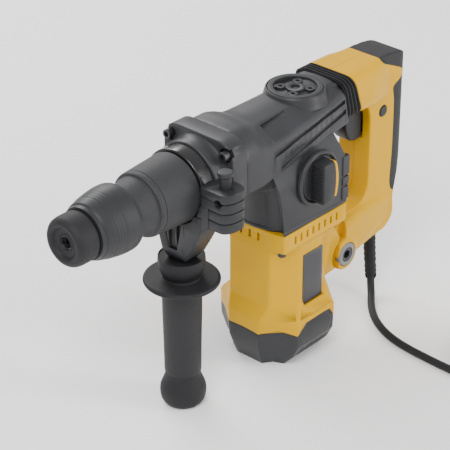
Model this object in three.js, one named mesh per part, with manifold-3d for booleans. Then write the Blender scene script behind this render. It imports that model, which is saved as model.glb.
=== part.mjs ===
// A mains rotary hammer with an upright motor: the barrel lies along X with the chuck at -X, the D-handle
// is at +X, the mode knob faces -Y, and the motor stands on its tail cap at the origin. Millimetres, +Z up.
import * as THREE from 'three';
import { mergeVertices } from 'three/addons/utils/BufferGeometryUtils.js';
import Module from 'manifold-3d';

const wasm = await Module();
wasm.setup();

// ---------------------------------------------------------------- driving dimensions
const gap = 0.3;                 // between pieces that touch
const axisZ = 216;               // barrel axis above the surface the tool stands on
const flangeX = -98;             // face of the gear case that the barrel bolts to
const handleReach = 158;         // motor axis to the back of the D-handle
const wall = 3.5;                // plastic casing wall

const tail = { height: 44, half: 46, footHalf: 30, flatX: 25, flatY: 17.5 };
const motor = { halfX: 40, halfY: 37, corner: 24, collarDrop: 93, topDrop: 73 };
const gearCase = { halfY: 38, frontX: -50, rearX: 56, splitDrop: 14, floor: 4 };
const cover = { halfY: 38.5, top: 38.5, blockLength: 37, rearX: 60, rearHalfY: 29, rearTop: 36 };
const greaseCap = { radius: 24.7, recess: 19.5, height: 8, dish: 4, top: 35 };

const gear = { module: 1, pinionTeeth: 6, crankTeeth: 34, layTeeth: 26, width: 10, lift: 9 };
const bevel = { smallTeeth: 10, ringTeeth: 30, smallR: 8, ringR: 24, face: 5 };
const crank = { throwR: 7, rodLength: 43, pinR: 3, discR: 12, shaftR: 5 };
const cylinder = { boreR: 15, outerR: 18, rearX: -6, frontX: -118.5 };
const piston = { wall: 2.4, eyeRoom: 19, skirt: 12, crown: 4 };
const ram = { length: 36 };
const bolt = { bigR: 7.6, bigLength: 27, smallR: 4.7, smallLength: 16, travel: 5 };
const holder = { outerR: 13.5, boreR: 5.1, noseR: 9.5 };

const barrel = { plate: 6, noseLength: 13.6, noseR: 34, seatR: 28.5, length: 41.3, rearR: 30.7,
  frontR: 28.8 };
const neck = { length: 21.3, rearR: 26, frontR: 23.5 };
const band = { width: 14, outerR: 32.5 };
const sleeve = { length: 41.5, rearR: 26, ringR: 29.4, frontR: 23.5, travel: 8 };
const cap = { length: 21.6, outerR: 21.6, dishR: 11.8, dishDepth: 3 };
const screw = { y: 31, up: 28, down: 26, headR: 4.2, headLength: 6, shankR: 2.5, depth: 16 };

const knob = { x: 5, drop: 33, ringR: 25.5, ringHeight: 4, gripR: 21, baseHeight: 3, barHeight: 13,
  barHalf: 8 };
const side = { ballR: 20.6, flangeR: 33.4, gripR: 16.6, endR: 20.4, flangeZ: 125.5, ballZ: 143 };
const block = { x: -122.5, y: -46.5, halfX: 13, halfY: 15, top: 12, drop: 24 };
const pivot = { x: 66, z: 74, boreR: 5, capR: 11.5, bossR: 16, y: 27 };
const arm = { bottom: 62, gapFloor: 112, gapRoof: 208 };
const grip = { frontX: 105, halfY: 18 };
const bellows = { length: 20, ribs: 4, depth: 2.2, wall: 2.2 };
const trigger = { x: 80, z: 173, height: 30, halfY: 9, travel: 7 };
const lock = { x: 123, z: 196, radius: 5.5, travel: 3 };
const shaft = { radius: 4, bottom: 12 };
const core = { radius: 21.5, bottom: 58, top: 104 };
const stator = { outerR: Math.min(motor.halfX - 5, motor.halfY - 4), innerR: 22.5 };
const fan = { outerR: stator.outerR - 3, hubR: 12.5, blades: 11 };
const bearing = { outerR: 11, width: 7 };
const cord = { radius: 3.6, coilR: 43.2, coilHalfWidth: 18, coilHeight: 14.5 };
const coil = { x: 122, y: -190 };
const relief = { x: 134, top: 74 };
const plug = { x: 158, y: -271 };

// levels and places that follow from them
const motorTop = axisZ - motor.topDrop;
const split = axisZ - gearCase.splitDrop;
const crankX = gear.module * (gear.pinionTeeth + gear.crankTeeth) / 2;
const layX = -gear.module * (gear.pinionTeeth + gear.layTeeth) / 2;
const plateX = flangeX - barrel.plate;
const noseX = plateX - barrel.noseLength;
const bandX = noseX - gap - band.width / 2;
const barrelRearX = bandX - band.width / 2 - gap;
const stepX = barrelRearX - barrel.length;
const neckX = stepX - neck.length;
const sleeveX = neckX - gap;
const sleeveFrontX = sleeveX - sleeve.length;
const capX = sleeveFrontX - gap;
const capFrontX = capX - cap.length;
const wristX = crankX - crank.throwR - crank.rodLength;
const crownX = wristX - piston.eyeRoom - piston.crown;
const bellowsX = cover.rearX + gap;
const handleX = bellowsX + bellows.length + gap;

// ---------------------------------------------------------------- solids
const TAU = Math.PI * 2;

function solid(geometry) {
  const bare = new THREE.BufferGeometry();
  bare.setAttribute('position', geometry.getAttribute('position').clone());
  if (geometry.index) bare.setIndex(geometry.index.clone());
  const merged = mergeVertices(bare, 1e-3);
  const vertProperties = new Float32Array(merged.getAttribute('position').array);
  let faces = [];
  const index = merged.index.array;
  for (let i = 0; i < index.length; i += 3) {
    const [a, b, c] = [index[i], index[i + 1], index[i + 2]];
    if (a !== b && b !== c && a !== c) faces.push([a, b, c]);
  }
  if (signedVolume(vertProperties, faces) < 0) faces = faces.map(([a, b, c]) => [a, c, b]);
  const triVerts = new Uint32Array(faces.flat());
  return new wasm.Manifold(new wasm.Mesh({ numProp: 3, vertProperties, triVerts }));
}

function signedVolume(positions, faces) {
  const corner = (i) => new THREE.Vector3().fromArray(positions, i * 3);
  return faces.reduce((sum, [a, b, c]) => sum + corner(a).dot(corner(b).cross(corner(c))) / 6, 0);
}

function join(...solids) {
  return solids.reduce((whole, next) => whole.add(next));
}

function cut(body, ...tools) {
  return tools.reduce((rest, tool) => rest.subtract(tool), body);
}

function box(x0, x1, y0, y1, z0, z1) {
  const geometry = new THREE.BoxGeometry(x1 - x0, y1 - y0, z1 - z0);
  return solid(geometry.translate((x0 + x1) / 2, (y0 + y1) / 2, (z0 + z1) / 2));
}

// Solids of revolution: profiles are [distance along the axis, radius], closed on the axis or on themselves.
function lathe(profile, sides) {
  const radii = profile.map(([, r]) => r);
  const points = profile.map(([d, r]) => new THREE.Vector2(r, d));
  if (Math.min(...radii) > 0) points.push(points[0].clone());
  return new THREE.LatheGeometry(points, sides);
}

function alongX(profile, { y = 0, z = axisZ, sides = 24 } = {}) {
  return solid(lathe(profile, sides).rotateZ(-Math.PI / 2).translate(0, y, z));
}

function alongZ(profile, { x = 0, y = 0, sides = 20 } = {}) {
  return solid(lathe(profile, sides).rotateX(Math.PI / 2).translate(x, y, 0));
}

function alongY(profile, { x = 0, z = 0, sides = 16 } = {}) {
  return solid(lathe(profile, sides).translate(x, 0, z));
}

const rod = (d0, d1, r) => [[d0, 0], [d0, r], [d1, r], [d1, 0]];
const ring = (d0, d1, inner, outer) => [[d0, inner], [d0, outer], [d1, outer], [d1, inner]];

// Outlines: rounded rectangles and gear wheels, as lists of [u, v].
function roundedRect(u0, u1, v0, v1, r, steps = 4) {
  const centres = [[u1 - r, v1 - r, 0], [u0 + r, v1 - r, 1], [u0 + r, v0 + r, 2], [u1 - r, v0 + r, 3]];
  return centres.flatMap(([u, v, quarter]) => Array.from({ length: steps + 1 }, (_, i) => {
    const angle = (quarter + i / steps) * Math.PI / 2;
    return [u + r * Math.cos(angle), v + r * Math.sin(angle)];
  }));
}

function gearOutline(teeth, pitchR, module, phase = 0) {
  const pitch = TAU / teeth;
  const corners = [[-0.27, -1.1], [-0.1, 0.75], [0.1, 0.75], [0.27, -1.1]];
  return Array.from({ length: teeth }, (_, i) => corners.map(([turn, height]) => {
    const angle = (i + turn) * pitch + phase;
    const r = pitchR + height * module;
    return [r * Math.cos(angle), r * Math.sin(angle)];
  })).flat();
}

function extrude(outline, depth, holes = []) {
  const path = (points) => points.map(([u, v]) => new THREE.Vector2(u, v));
  const shape = new THREE.Shape(path(outline));
  shape.holes = holes.map((hole) => new THREE.Path(path(hole)));
  return new THREE.ExtrudeGeometry(shape, { depth, bevelEnabled: false, curveSegments: 6 });
}

const extrudeZ = (outline, z0, z1, holes) => solid(extrude(outline, z1 - z0, holes).translate(0, 0, z0));

// An outline in X and Z, pulled along Y.
function extrudeY(outline, y0, y1) {
  return solid(extrude(outline, y1 - y0).rotateX(Math.PI / 2).translate(0, y1, 0));
}

// A skin over a row of closed sections with equal point counts.
function loft(sections) {
  const count = sections[0].length;
  const positions = sections.flat(2);
  const index = [];
  for (let s = 0; s + 1 < sections.length; s += 1) {
    for (let i = 0; i < count; i += 1) {
      const a = s * count + i;
      const b = s * count + (i + 1) % count;
      index.push(a, b, b + count, a, b + count, a + count);
    }
  }
  [0, sections.length - 1].forEach((s, end) => {
    const middle = positions.length / 3;
    const section = sections[s];
    positions.push(...[0, 1, 2].map((k) => section.reduce((sum, point) => sum + point[k], 0) / count));
    for (let i = 0; i < count; i += 1) {
      const a = s * count + i;
      const b = s * count + (i + 1) % count;
      index.push(...(end ? [a, b, middle] : [b, a, middle]));
    }
  });
  const geometry = new THREE.BufferGeometry();
  geometry.setAttribute('position', new THREE.Float32BufferAttribute(positions, 3));
  geometry.setIndex(index);
  return solid(geometry);
}

const sectionZ = (z, ...outline) => roundedRect(...outline).map(([u, v]) => [u, v, z]);
const sectionX = (x, half, ...rest) => roundedRect(-half, half, ...rest).map(([u, v]) => [x, u, v]);

// A coil spring as one round wire along X or Z.
function coilSpring({ start, length, radius, wire, turns, axis, offset }) {
  const steps = 10;
  const points = Array.from({ length: turns * steps + 1 }, (_, i) => {
    const angle = (i / steps) * TAU;
    const along = start + wire + (length - 2 * wire) * i / (turns * steps);
    const [u, v] = [radius * Math.cos(angle), radius * Math.sin(angle)];
    const point = axis === 'x' ? [along, u, v] : [u, v, along];
    return new THREE.Vector3(...point).add(new THREE.Vector3(...offset));
  });
  const section = Array.from({ length: 6 }, (_, i) => {
    const angle = (i / 6) * TAU;
    return new THREE.Vector2(wire * Math.cos(angle), wire * Math.sin(angle));
  });
  const extrudePath = new THREE.CatmullRomCurve3(points);
  return solid(new THREE.ExtrudeGeometry(new THREE.Shape(section), { steps: turns * steps, extrudePath }));
}

// ---------------------------------------------------------------- materials and the scene graph
const looks = {
  blackPlastic: { color: 0x3a3b3d, roughness: 0.55, metalness: 0 },
  glossPlastic: { color: 0x2a2b2d, roughness: 0.3, metalness: 0 },
  yellowPlastic: { color: 0xffc20e, roughness: 0.42, metalness: 0 },
  rubber: { color: 0x2c2d2f, roughness: 0.8, metalness: 0 },
  grey: { color: 0x6a6b6d, roughness: 0.5, metalness: 0.1 },
  steel: { color: 0x9fa3a8, roughness: 0.3, metalness: 0.9 },
  darkSteel: { color: 0x3d3f42, roughness: 0.4, metalness: 0.8 },
  aluminium: { color: 0xb6b8bb, roughness: 0.4, metalness: 0.9 },
  copper: { color: 0xb87333, roughness: 0.4, metalness: 0.9 },
  carbon: { color: 0x1c1c1e, roughness: 0.7, metalness: 0.1 },
};

const part = new THREE.Group();

function piece(name, body, look) {
  const mesh = body.getMesh();
  const geometry = new THREE.BufferGeometry();
  geometry.setAttribute('position', new THREE.Float32BufferAttribute(mesh.vertProperties, 3));
  geometry.setIndex(new THREE.BufferAttribute(new Uint32Array(mesh.triVerts), 1));
  geometry.computeVertexNormals();
  const object = new THREE.Mesh(geometry, new THREE.MeshStandardMaterial(looks[look]));
  object.name = name;
  part.add(object);
}

// ---------------------------------------------------------------- motor
function octagon(z, halfX, halfY, flatX, flatY) {
  const quarter = [[halfX, -flatY], [halfX, flatY], [flatX, halfY], [-flatX, halfY]];
  return [...quarter, ...quarter.map(([x, y]) => [-x, -y])].map(([x, y]) => [x, y, z]);
}

function makeTailCap() {
  const top = tail.height;
  const [wide, low] = [tail.half, tail.footHalf];
  const shell = (inset) => loft([
    octagon(inset, low + 7 - inset, low - inset, tail.flatX - inset / 2, 15 - inset / 2),
    octagon(12, wide - 4 - inset, wide - 6 - inset, tail.flatX - inset / 2, 16 - inset / 2),
    octagon(26, wide - inset, wide - inset, tail.flatX - inset / 2, tail.flatY - inset / 2),
    octagon(top + inset / wall, wide - inset, wide - inset, tail.flatX - inset / 2, tail.flatY - inset / 2),
  ]);
  const seat = alongZ(ring(wall - gap, 10 + bearing.width, bearing.outerR + gap, bearing.outerR + 4));
  const slots = [];
  for (let i = 0; i < 6; i += 1) {
    for (const y of [-tail.half, tail.half]) {
      const slot = new THREE.BoxGeometry(3, 22, 14).rotateY(-0.6).translate(-17 + i * 7, y, 13);
      slots.push(solid(slot));
    }
  }
  piece('tail_cap', join(cut(shell(0), shell(wall), ...slots), seat), 'blackPlastic');
}

function makeMotorHousing() {
  const [bottom, neckZ] = [tail.height + gap, tail.height + 18];
  const collarZ = axisZ - motor.collarDrop;
  const collarRear = gearCase.rearX - 2 - motor.halfX;
  const square = (z, grow, corner, rear = grow) => sectionZ(z, 1 - motor.halfX - grow, motor.halfX + rear,
    -motor.halfY - grow, motor.halfY + grow, corner, 4);
  const skin = (inset) => loft([
    square(bottom - inset / wall, 6 - inset, 27 - inset),
    square(bottom + 6, 6 - inset, 27 - inset),
    square(neckZ, -inset, motor.corner - inset / 2),
    square(collarZ - 4, -inset, motor.corner - inset / 2),
    square(collarZ + 2, 1.6 - inset, 9, collarRear - inset),
    square(motorTop - gap + inset / wall, 1.6 - inset, 9, collarRear - inset),
  ]);
  const vents = [];
  for (let i = 0; i < 8; i += 1) {
    const x = -21.8 + i * 8;
    vents.push(box(x - 1.2, x + 1.2, -motor.halfY - 5, motor.halfY + 5, motorTop - 13, motorTop - 6));
  }
  for (const y of [-10, 0, 10]) {
    vents.push(box(-motor.halfX - 5, -motor.halfX + 6, y - 1.2, y + 1.2, motorTop - 13, motorTop - 6));
  }
  const lug = join(
    box(motor.halfX - wall, pivot.x, -13, 13, pivot.z - 12, pivot.z + 26),
    alongY(rod(-13, 13, 12), { x: pivot.x, z: pivot.z }),
  );
  const bore = alongY(rod(-14, 14, pivot.boreR + gap), { x: pivot.x, z: pivot.z });
  const plate = (grow, y0, y1) => box(-9.2 - grow, 17.8 + grow, y0, y1, pivot.z - 16 - grow,
    pivot.z + 36 + grow);
  const face = -motor.halfY;
  piece('motor_housing', cut(join(skin(0), lug), skin(wall), bore, ...vents,
    plate(0, face - 1, face + 0.8)), 'yellowPlastic');
  piece('label_plate', plate(-gap, face - 0.4, face + 0.8 - gap), 'grey');
}

function makeMotorInside() {
  const pinionR = gear.module * gear.pinionTeeth / 2;
  const gearBottom = motorTop + gear.lift;
  const pinion = extrudeZ(gearOutline(gear.pinionTeeth, pinionR, gear.module), gearBottom - 5,
    gearBottom + gear.width + 2);
  piece('armature_shaft', join(alongZ(rod(shaft.bottom, gearBottom - 4, shaft.radius), { sides: 24 }),
    pinion), 'steel');

  const slots = Array.from({ length: 12 }, (_, i) => {
    const slot = new THREE.BoxGeometry(6, 2.2, core.top - core.bottom + 2);
    return solid(slot.translate(core.radius, 0, (core.top + core.bottom) / 2).rotateZ(i * TAU / 12));
  });
  const body = alongZ(ring(core.bottom, core.top, shaft.radius + gap, core.radius), { sides: 24 });
  piece('armature_core', cut(body, ...slots), 'darkSteel');
  piece('commutator', alongZ(ring(core.bottom - 22, core.bottom - 4, shaft.radius + gap, 13)), 'copper');

  const fanZ = core.top + 9;
  const bladeLength = fan.outerR - 0.5 - fan.hubR;
  const blades = Array.from({ length: fan.blades }, (_, i) => {
    const blade = new THREE.BoxGeometry(bladeLength, 1.6, 9.5).rotateZ(0.4);
    return solid(blade.translate(fan.hubR + bladeLength / 2, 0, fanZ + 5).rotateZ(i * TAU / fan.blades));
  });
  const fanDisc = alongZ(ring(fanZ - 1, fanZ + 1.5, shaft.radius + gap, fan.outerR));
  piece('cooling_fan', join(fanDisc, ...blades), 'blackPlastic');

  piece('stator', alongZ(ring(core.bottom - 2, core.top + 2, stator.innerR, stator.outerR),
    { sides: 24 }), 'darkSteel');
  const bearings = [['motor_bearing_lower', 10], ['motor_bearing_upper', motorTop - 11]];
  for (const [name, z] of bearings) {
    piece(name, alongZ(ring(z, z + bearing.width - gap, shaft.radius + gap, bearing.outerR)), 'steel');
  }
  for (const [name, end] of [['left', -1], ['right', 1]]) {
    const [near, far] = [13 + 1.5, 31.5].map((y) => y * end).sort((a, b) => a - b);
    const z = core.bottom - 13;
    const sleeveBody = box(-5.5, 5.5, near, far, z - 5, z + 5);
    const brushRoom = box(-3.5, 3.5, near - 1, far + 1, z - 3, z + 3);
    piece(`brush_holder_${name}`, cut(sleeveBody, brushRoom), 'aluminium');
    const [tip, back] = [13 + gap, 27].map((y) => y * end).sort((a, b) => a - b);
    piece(`carbon_brush_${name}`, box(-3.2, 3.2, tip, back, z - 2.7, z + 2.7), 'carbon');
  }
}

// ---------------------------------------------------------------- gear case, cover and barrel
function makeGearCase() {
  const floorZ = motorTop;
  const skin = (inset, z0, z1) => loft([
    sectionZ(z0, gearCase.frontX + 12 + inset, gearCase.rearX - inset, -gearCase.halfY + inset,
      gearCase.halfY - inset, 10),
    sectionZ(z1, gearCase.frontX + inset, gearCase.rearX - inset, -gearCase.halfY + inset,
      gearCase.halfY - inset, 10),
  ]);
  const neckSkin = (r, x0, x1) => alongX(rod(x0, x1, r), { sides: 24 });
  const shell = join(skin(0, floorZ, split), neckSkin(cover.halfY - 1, flangeX, gearCase.frontX + 15));
  const mouth = loft([split - wall - 1, split + 1].map((z) => [
    [flangeX + cover.blockLength, -cover.halfY + 9, z], [cover.rearX - 9, -cover.rearHalfY + wall, z],
    [cover.rearX - 9, cover.rearHalfY - wall, z], [flangeX + cover.blockLength, cover.halfY - 9, z],
  ]));
  const inside = join(skin(wall, floorZ + gearCase.floor, split - wall), mouth,
    neckSkin(cylinder.outerR + 7, flangeX - 1, 0));
  const above = box(-200, 200, -100, 100, split, axisZ + 100);
  const seat = alongZ(ring(motorTop - 14, floorZ + 1, bearing.outerR + gap, bearing.outerR + 4));
  const shaftHole = alongZ(rod(motorTop - 1, floorZ + 9, shaft.radius + 1.5));
  const seatRoom = alongZ(rod(motorTop - 15, motorTop - 3, bearing.outerR + gap));
  const posts = [[crankX, 8], [layX, 7]].map(([x, r]) => alongZ(ring(floorZ + 3, floorZ + 7, r - 3.2, r),
    { x, sides: 20 }));
  const screwHoles = screwPlaces().filter(([, , top]) => !top).map(([y, z]) => (
    alongX(rod(flangeX - 1, flangeX + screw.depth + 2, screw.shankR + gap), { y, z, sides: 12 })
  ));
  const knobHole = alongY(rod(-gearCase.halfY - 5, -gearCase.halfY + wall + 2, 6 + gap),
    { x: knob.x, z: axisZ - knob.drop });
  const body = join(cut(shell, above), seat);
  piece('gear_case', join(cut(body, cut(inside, above), seatRoom, shaftHole, ...screwHoles, knobHole),
    ...posts), 'blackPlastic');
}

function screwPlaces() {
  return [-1, 1].flatMap((end) => [[end * screw.y, axisZ + screw.up, true],
    [end * screw.y, axisZ - screw.down, false]]);
}

function makeTopCover() {
  const top = axisZ + cover.top;
  const low = split + gap;
  const blockEnd = flangeX + cover.blockLength;
  const skin = (inset, open) => loft([
    sectionX(flangeX - open, cover.halfY - inset, low - open * 9, top - inset, 17 - inset / 2),
    sectionX(blockEnd - 4, cover.halfY - inset, low - open * 9, top - inset, 17 - inset / 2),
    sectionX(blockEnd + 3, cover.halfY - 3.5 - inset, low - open * 9, top - 8 - inset, 17 - inset / 2),
    sectionX(cover.rearX - inset, cover.rearHalfY - inset, low - open * 9, axisZ + cover.rearTop - inset,
      12 - inset / 2),
  ]);
  const bossTop = axisZ + greaseCap.top;
  const boss = alongZ(rod(bossTop - 9, bossTop, greaseCap.radius + 2.3), { x: crankX, sides: 24 });
  const seat = alongZ(rod(bossTop - greaseCap.height - gap, bossTop + 1, greaseCap.radius + gap),
    { x: crankX, sides: 24 });
  const shaftRoom = alongZ(rod(axisZ, bossTop, greaseCap.radius - 5), { x: crankX, sides: 24 });
  const spigotRoom = alongX(rod(flangeX - 1, flangeX + 6, cylinder.outerR + 7), { sides: 24 });
  const frontWall = box(flangeX, flangeX + 5, -cover.halfY + 2, cover.halfY - 2, low, top - 2);
  const bosses = screwPlaces().filter(([, , isTop]) => isTop).map(([y, z]) => (
    alongX(rod(flangeX, flangeX + screw.depth + 5, 6), { y, z, sides: 16 })
  ));
  const holes = screwPlaces().map(([y, z]) => (
    alongX(rod(flangeX - 1, flangeX + screw.depth + 2, screw.shankR + gap), { y, z, sides: 12 })
  ));
  const ribs = [-1, 1].flatMap((end) => [9, 17].map((up) => loft([
    sectionAcross(blockEnd + 6, end * (cover.halfY - 3), low + up + 4, 2.2, 2.6),
    sectionAcross(cover.rearX - 6, end * (cover.rearHalfY + 0.5), low + up + 9, 2.2, 2.6),
  ])));
  const outer = join(cut(skin(0, 0), skin(wall, 1)), cut(frontWall, spigotRoom), boss);
  piece('top_cover', cut(join(outer, ...bosses), seat, shaftRoom, ...holes, ...ribs), 'blackPlastic');

  const disc = alongZ(rod(bossTop - greaseCap.height, bossTop, greaseCap.radius), { x: crankX, sides: 24 });
  const dish = alongZ(rod(bossTop - greaseCap.dish, bossTop + 1, greaseCap.recess),
    { x: crankX, sides: 24 });
  const hub = alongZ(rod(bossTop - greaseCap.dish - 1, bossTop - 0.5, 8), { x: crankX });
  const hex = alongZ(rod(bossTop - greaseCap.dish, bossTop + 1, 5), { x: crankX, sides: 6 });
  piece('grease_cap', cut(join(cut(disc, dish), hub), hex), 'blackPlastic');
}

function sectionAcross(x, y, z, halfY, halfZ) {
  return [[x, y - halfY, z - halfZ], [x, y + halfY, z - halfZ], [x, y + halfY, z + halfZ],
    [x, y - halfY, z + halfZ]];
}

function makeBarrel() {
  const plateOutline = roundedRect(-cover.halfY + 1, cover.halfY - 1, axisZ - 38, axisZ + cover.top - 1,
    16);
  const plate = loft([plateX, flangeX - gap].map((x) => plateOutline.map(([y, z]) => [x, y, z])));
  const nose = alongX([[noseX, 20], [noseX, barrel.noseR - 1.5], [noseX + 1.5, barrel.noseR],
    [flangeX - 1, barrel.noseR + 3],
    [flangeX - 1, 20]], { sides: 24 });
  const spigotR = cylinder.outerR + 3.5;
  const bore = alongX(rod(noseX - 1, flangeX + 1, spigotR + gap), { sides: 24 });
  const reliefs = screwPlaces().map(([y, z]) => (
    alongX(rod(noseX - 2, plateX + 1.5, screw.headR + 2.2), { y, z, sides: 16 })
  ));
  const holes = screwPlaces().map(([y, z]) => alongX(rod(noseX, flangeX + 1, screw.shankR + gap),
    { y, z, sides: 12 }));
  piece('front_flange', cut(join(plate, nose), bore, ...reliefs, ...holes), 'blackPlastic');

  screwPlaces().forEach(([y, z], i) => {
    const headX = plateX + 1.5 - gap - screw.headLength;
    const head = alongX(rod(headX, headX + screw.headLength, screw.headR), { y, z, sides: 16 });
    const shank = alongX(rod(headX + 1, flangeX + screw.depth, screw.shankR), { y, z, sides: 12 });
    const socket = alongX(rod(headX - 1, headX + 3, 2.4), { y, z, sides: 6 });
    piece(`flange_screw_${i + 1}`, cut(join(head, shank), socket), 'darkSteel');
  });

  const boreR = cylinder.outerR + 0.7;
  const skirtX = neckX - sleeve.travel;
  const outer = [
    [skirtX, neck.frontR - 1.6], [neckX, neck.frontR - 1.6], [neckX, neck.frontR],
      [neckX + sleeve.travel + 0.5, neck.frontR],
    [stepX, neck.rearR], [stepX, barrel.frontR], [barrelRearX - 5, barrel.rearR],
      [barrelRearX - 0.6, barrel.rearR - 0.9],
    [barrelRearX, barrel.rearR - 2.5], [barrelRearX, barrel.seatR], [noseX - gap, barrel.seatR],
    [noseX - gap, spigotR], [flangeX + 3, spigotR],
  ];
  const inner = [[flangeX + 3, boreR], [cylinder.frontX - 8, boreR],
    [cylinder.frontX - 8, holder.outerR + 1],
    [stepX - 4, holder.outerR + 1], [stepX - 4, 19 + gap], [skirtX, 19 + gap]];
  piece('barrel_housing', alongX([...outer, ...inner], { sides: 24 }), 'blackPlastic');
  piece('front_bearing', alongX(ring(stepX - 4 - gap - 13, stepX - 4 - gap, holder.outerR + gap, 19)),
    'steel');
  piece('rear_bearing', alongX(ring(flangeX + 20, flangeX + 30, cylinder.outerR + gap,
    cylinder.outerR + 7 - gap)), 'steel');
}

// ---------------------------------------------------------------- striking gear
function makeSpindle() {
  const boltRoomX = cylinder.frontX - 1 - bolt.bigLength - bolt.travel - 1;
  const noseEnd = capFrontX + cap.dishDepth + 1.5;
  const tube = alongX([
    [cylinder.rearX, cylinder.boreR], [cylinder.rearX, cylinder.outerR],
      [cylinder.frontX - 5, cylinder.outerR],
    [cylinder.frontX - 7, holder.outerR], [capX + gap, holder.outerR], [capX + gap, holder.noseR],
    [noseEnd, holder.noseR], [noseEnd, holder.boreR], [boltRoomX, holder.boreR],
      [boltRoomX, bolt.bigR + 0.4],
    [cylinder.frontX, bolt.bigR + 0.4], [cylinder.frontX, cylinder.boreR],
  ]);
  const ballX = sleeveFrontX + 16;
  const slots = [-1, 1].map((end) => box(ballX - 5, ballX + 5,
    ...[4, 15].map((y) => y * end).sort((a, b) => a - b),
    axisZ - 3.8, axisZ + 3.8));
  piece('spindle', cut(tube, ...slots), 'steel');
  for (const [name, end] of [['left', -1], ['right', 1]]) {
    const ball = new THREE.SphereGeometry(3.4, 14, 10).translate(ballX, end * 9.2, axisZ);
    piece(`locking_ball_${name}`, solid(ball), 'steel');
  }

  const smallModule = bevel.smallR * 2 / bevel.smallTeeth;
  const apex = (r, rise) => 1 - rise / r;
  const ringX = layX - bevel.smallR;
  const reachIn = apex(bevel.ringR, bevel.face);
  const flat = gearOutline(bevel.ringTeeth, bevel.ringR, 0);
  const heights = [-1.4, 0.95];
  const crown = (reach) => flat.map(([y, z], i) => [
    layX - bevel.smallR * reach + heights[i % 4 === 1 || i % 4 === 2 ? 1 : 0] * reach, y * reach,
      axisZ + z * reach]);
  const toothed = loft([flat.map(([y, z]) => [ringX - 7, y, axisZ + z]), crown(1), crown(reachIn)]);
  const hubBore = alongX(rod(ringX - 20, layX, cylinder.outerR + gap));
  piece('spindle_bevel_gear', cut(join(toothed, alongX(rod(ringX - 12, ringX - 6, bevel.ringR - 2.5))),
    hubBore), 'steel');

  const layTeeth = (reach) => gearOutline(bevel.smallTeeth, bevel.smallR * reach,
    smallModule * reach * 0.8);
  const bigEnd = axisZ - bevel.ringR;
  const reachTop = apex(bevel.ringR, bevel.face - 0.6);
  const pinion = loft([
    layTeeth(1).map(([x, y]) => [layX + x, y, bigEnd - 3]),
    layTeeth(1).map(([x, y]) => [layX + x, y, bigEnd]),
    layTeeth(reachTop).map(([x, y]) => [layX + x, y, axisZ - bevel.ringR * reachTop]),
  ]);
  const gearZ = motorTop + gear.lift;
  const layR = gear.module * gear.layTeeth / 2;
  const layOutline = gearOutline(gear.layTeeth, layR, gear.module, Math.PI / gear.layTeeth);
  const wheel = extrudeZ(layOutline.map(([x, y]) => [x + layX, y]), gearZ, gearZ + gear.width);
  piece('lay_shaft', join(pinion, wheel, alongZ(rod(motorTop + gearCase.floor + gap, bigEnd - 2, 3.5),
    { x: layX, sides: 20 })), 'steel');
}

function makeStrikingGear() {
  const gearZ = motorTop + gear.lift;
  const crankR = gear.module * gear.crankTeeth / 2;
  const outline = gearOutline(gear.crankTeeth, crankR, gear.module, Math.PI / gear.crankTeeth);
  const wheel = extrudeZ(outline.map(([x, y]) => [x + crankX, y]), gearZ, gearZ + gear.width);
  const shaftBottom = motorTop + gearCase.floor + gap;
  const discZ = axisZ - 12;
  const disc = alongZ([[shaftBottom, 0], [shaftBottom, crank.shaftR - 0.6], [gearZ, crank.shaftR - 0.6],
    [gearZ, crank.shaftR + 4],
    [gearZ + gear.width + 4, crank.shaftR + 4], [gearZ + gear.width + 4, crank.shaftR],
      [discZ, crank.shaftR],
    [discZ, crank.discR], [discZ + 5, crank.discR], [discZ + 5, 0]], { x: crankX });
  const pinX = crankX - crank.throwR;
  const pin = alongZ(rod(discZ + 4, axisZ + 7, crank.pinR), { x: pinX, sides: 16 });
  piece('crank_gear', join(wheel, disc, pin), 'steel');
  piece('crank_bearing', alongZ(ring(gearZ + gear.width + 5, discZ - 1, crank.shaftR + gap, 11),
    { x: crankX }), 'steel');

  const eye = (x, r) => alongZ(rod(axisZ - 4, axisZ + 4, r), { x, sides: 20 });
  const rodBody = join(eye(pinX, 7.5), eye(wristX, 4), box(wristX, pinX, -2.5, 2.5, axisZ - 4, axisZ + 4));
  const bores = [alongZ(rod(axisZ - 5, axisZ + 5, crank.pinR + gap), { x: pinX, sides: 16 }),
    alongZ(rod(axisZ - 5, axisZ + 5, 2), { x: wristX, sides: 12 })];
  piece('connecting_rod', cut(rodBody, ...bores), 'darkSteel');
  piece('wrist_pin', alongZ(rod(axisZ - 4, axisZ + 4, 2 - gap), { x: wristX, sides: 12 }), 'steel');

  const pistonR = cylinder.boreR - 0.4;
  const hollowR = pistonR - piston.wall;
  piece('piston', alongX([[crownX + piston.crown, 0], [crownX + piston.crown, hollowR - 1.2],
    [crownX + piston.crown + 3, hollowR], [wristX + piston.skirt, hollowR],
      [wristX + piston.skirt, pistonR],
    [crownX, pistonR], [crownX, 0]]), 'aluminium');

  const ramRear = crownX - crank.throwR - 1.5;
  piece('ram', alongX([[ramRear, 0], [ramRear, pistonR], [ramRear - ram.length + 2, pistonR],
    [ramRear - ram.length, pistonR - 2], [ramRear - ram.length, 0]]), 'steel');

  const boltRear = cylinder.frontX + 1;
  piece('impact_bolt', alongX([[boltRear, 0], [boltRear, bolt.bigR - 1], [boltRear - 1, bolt.bigR],
    [boltRear - bolt.bigLength, bolt.bigR], [boltRear - bolt.bigLength - 2, bolt.smallR],
    [boltRear - bolt.bigLength - bolt.smallLength, bolt.smallR],
      [boltRear - bolt.bigLength - bolt.smallLength, 0]]), 'steel');
}

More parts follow.
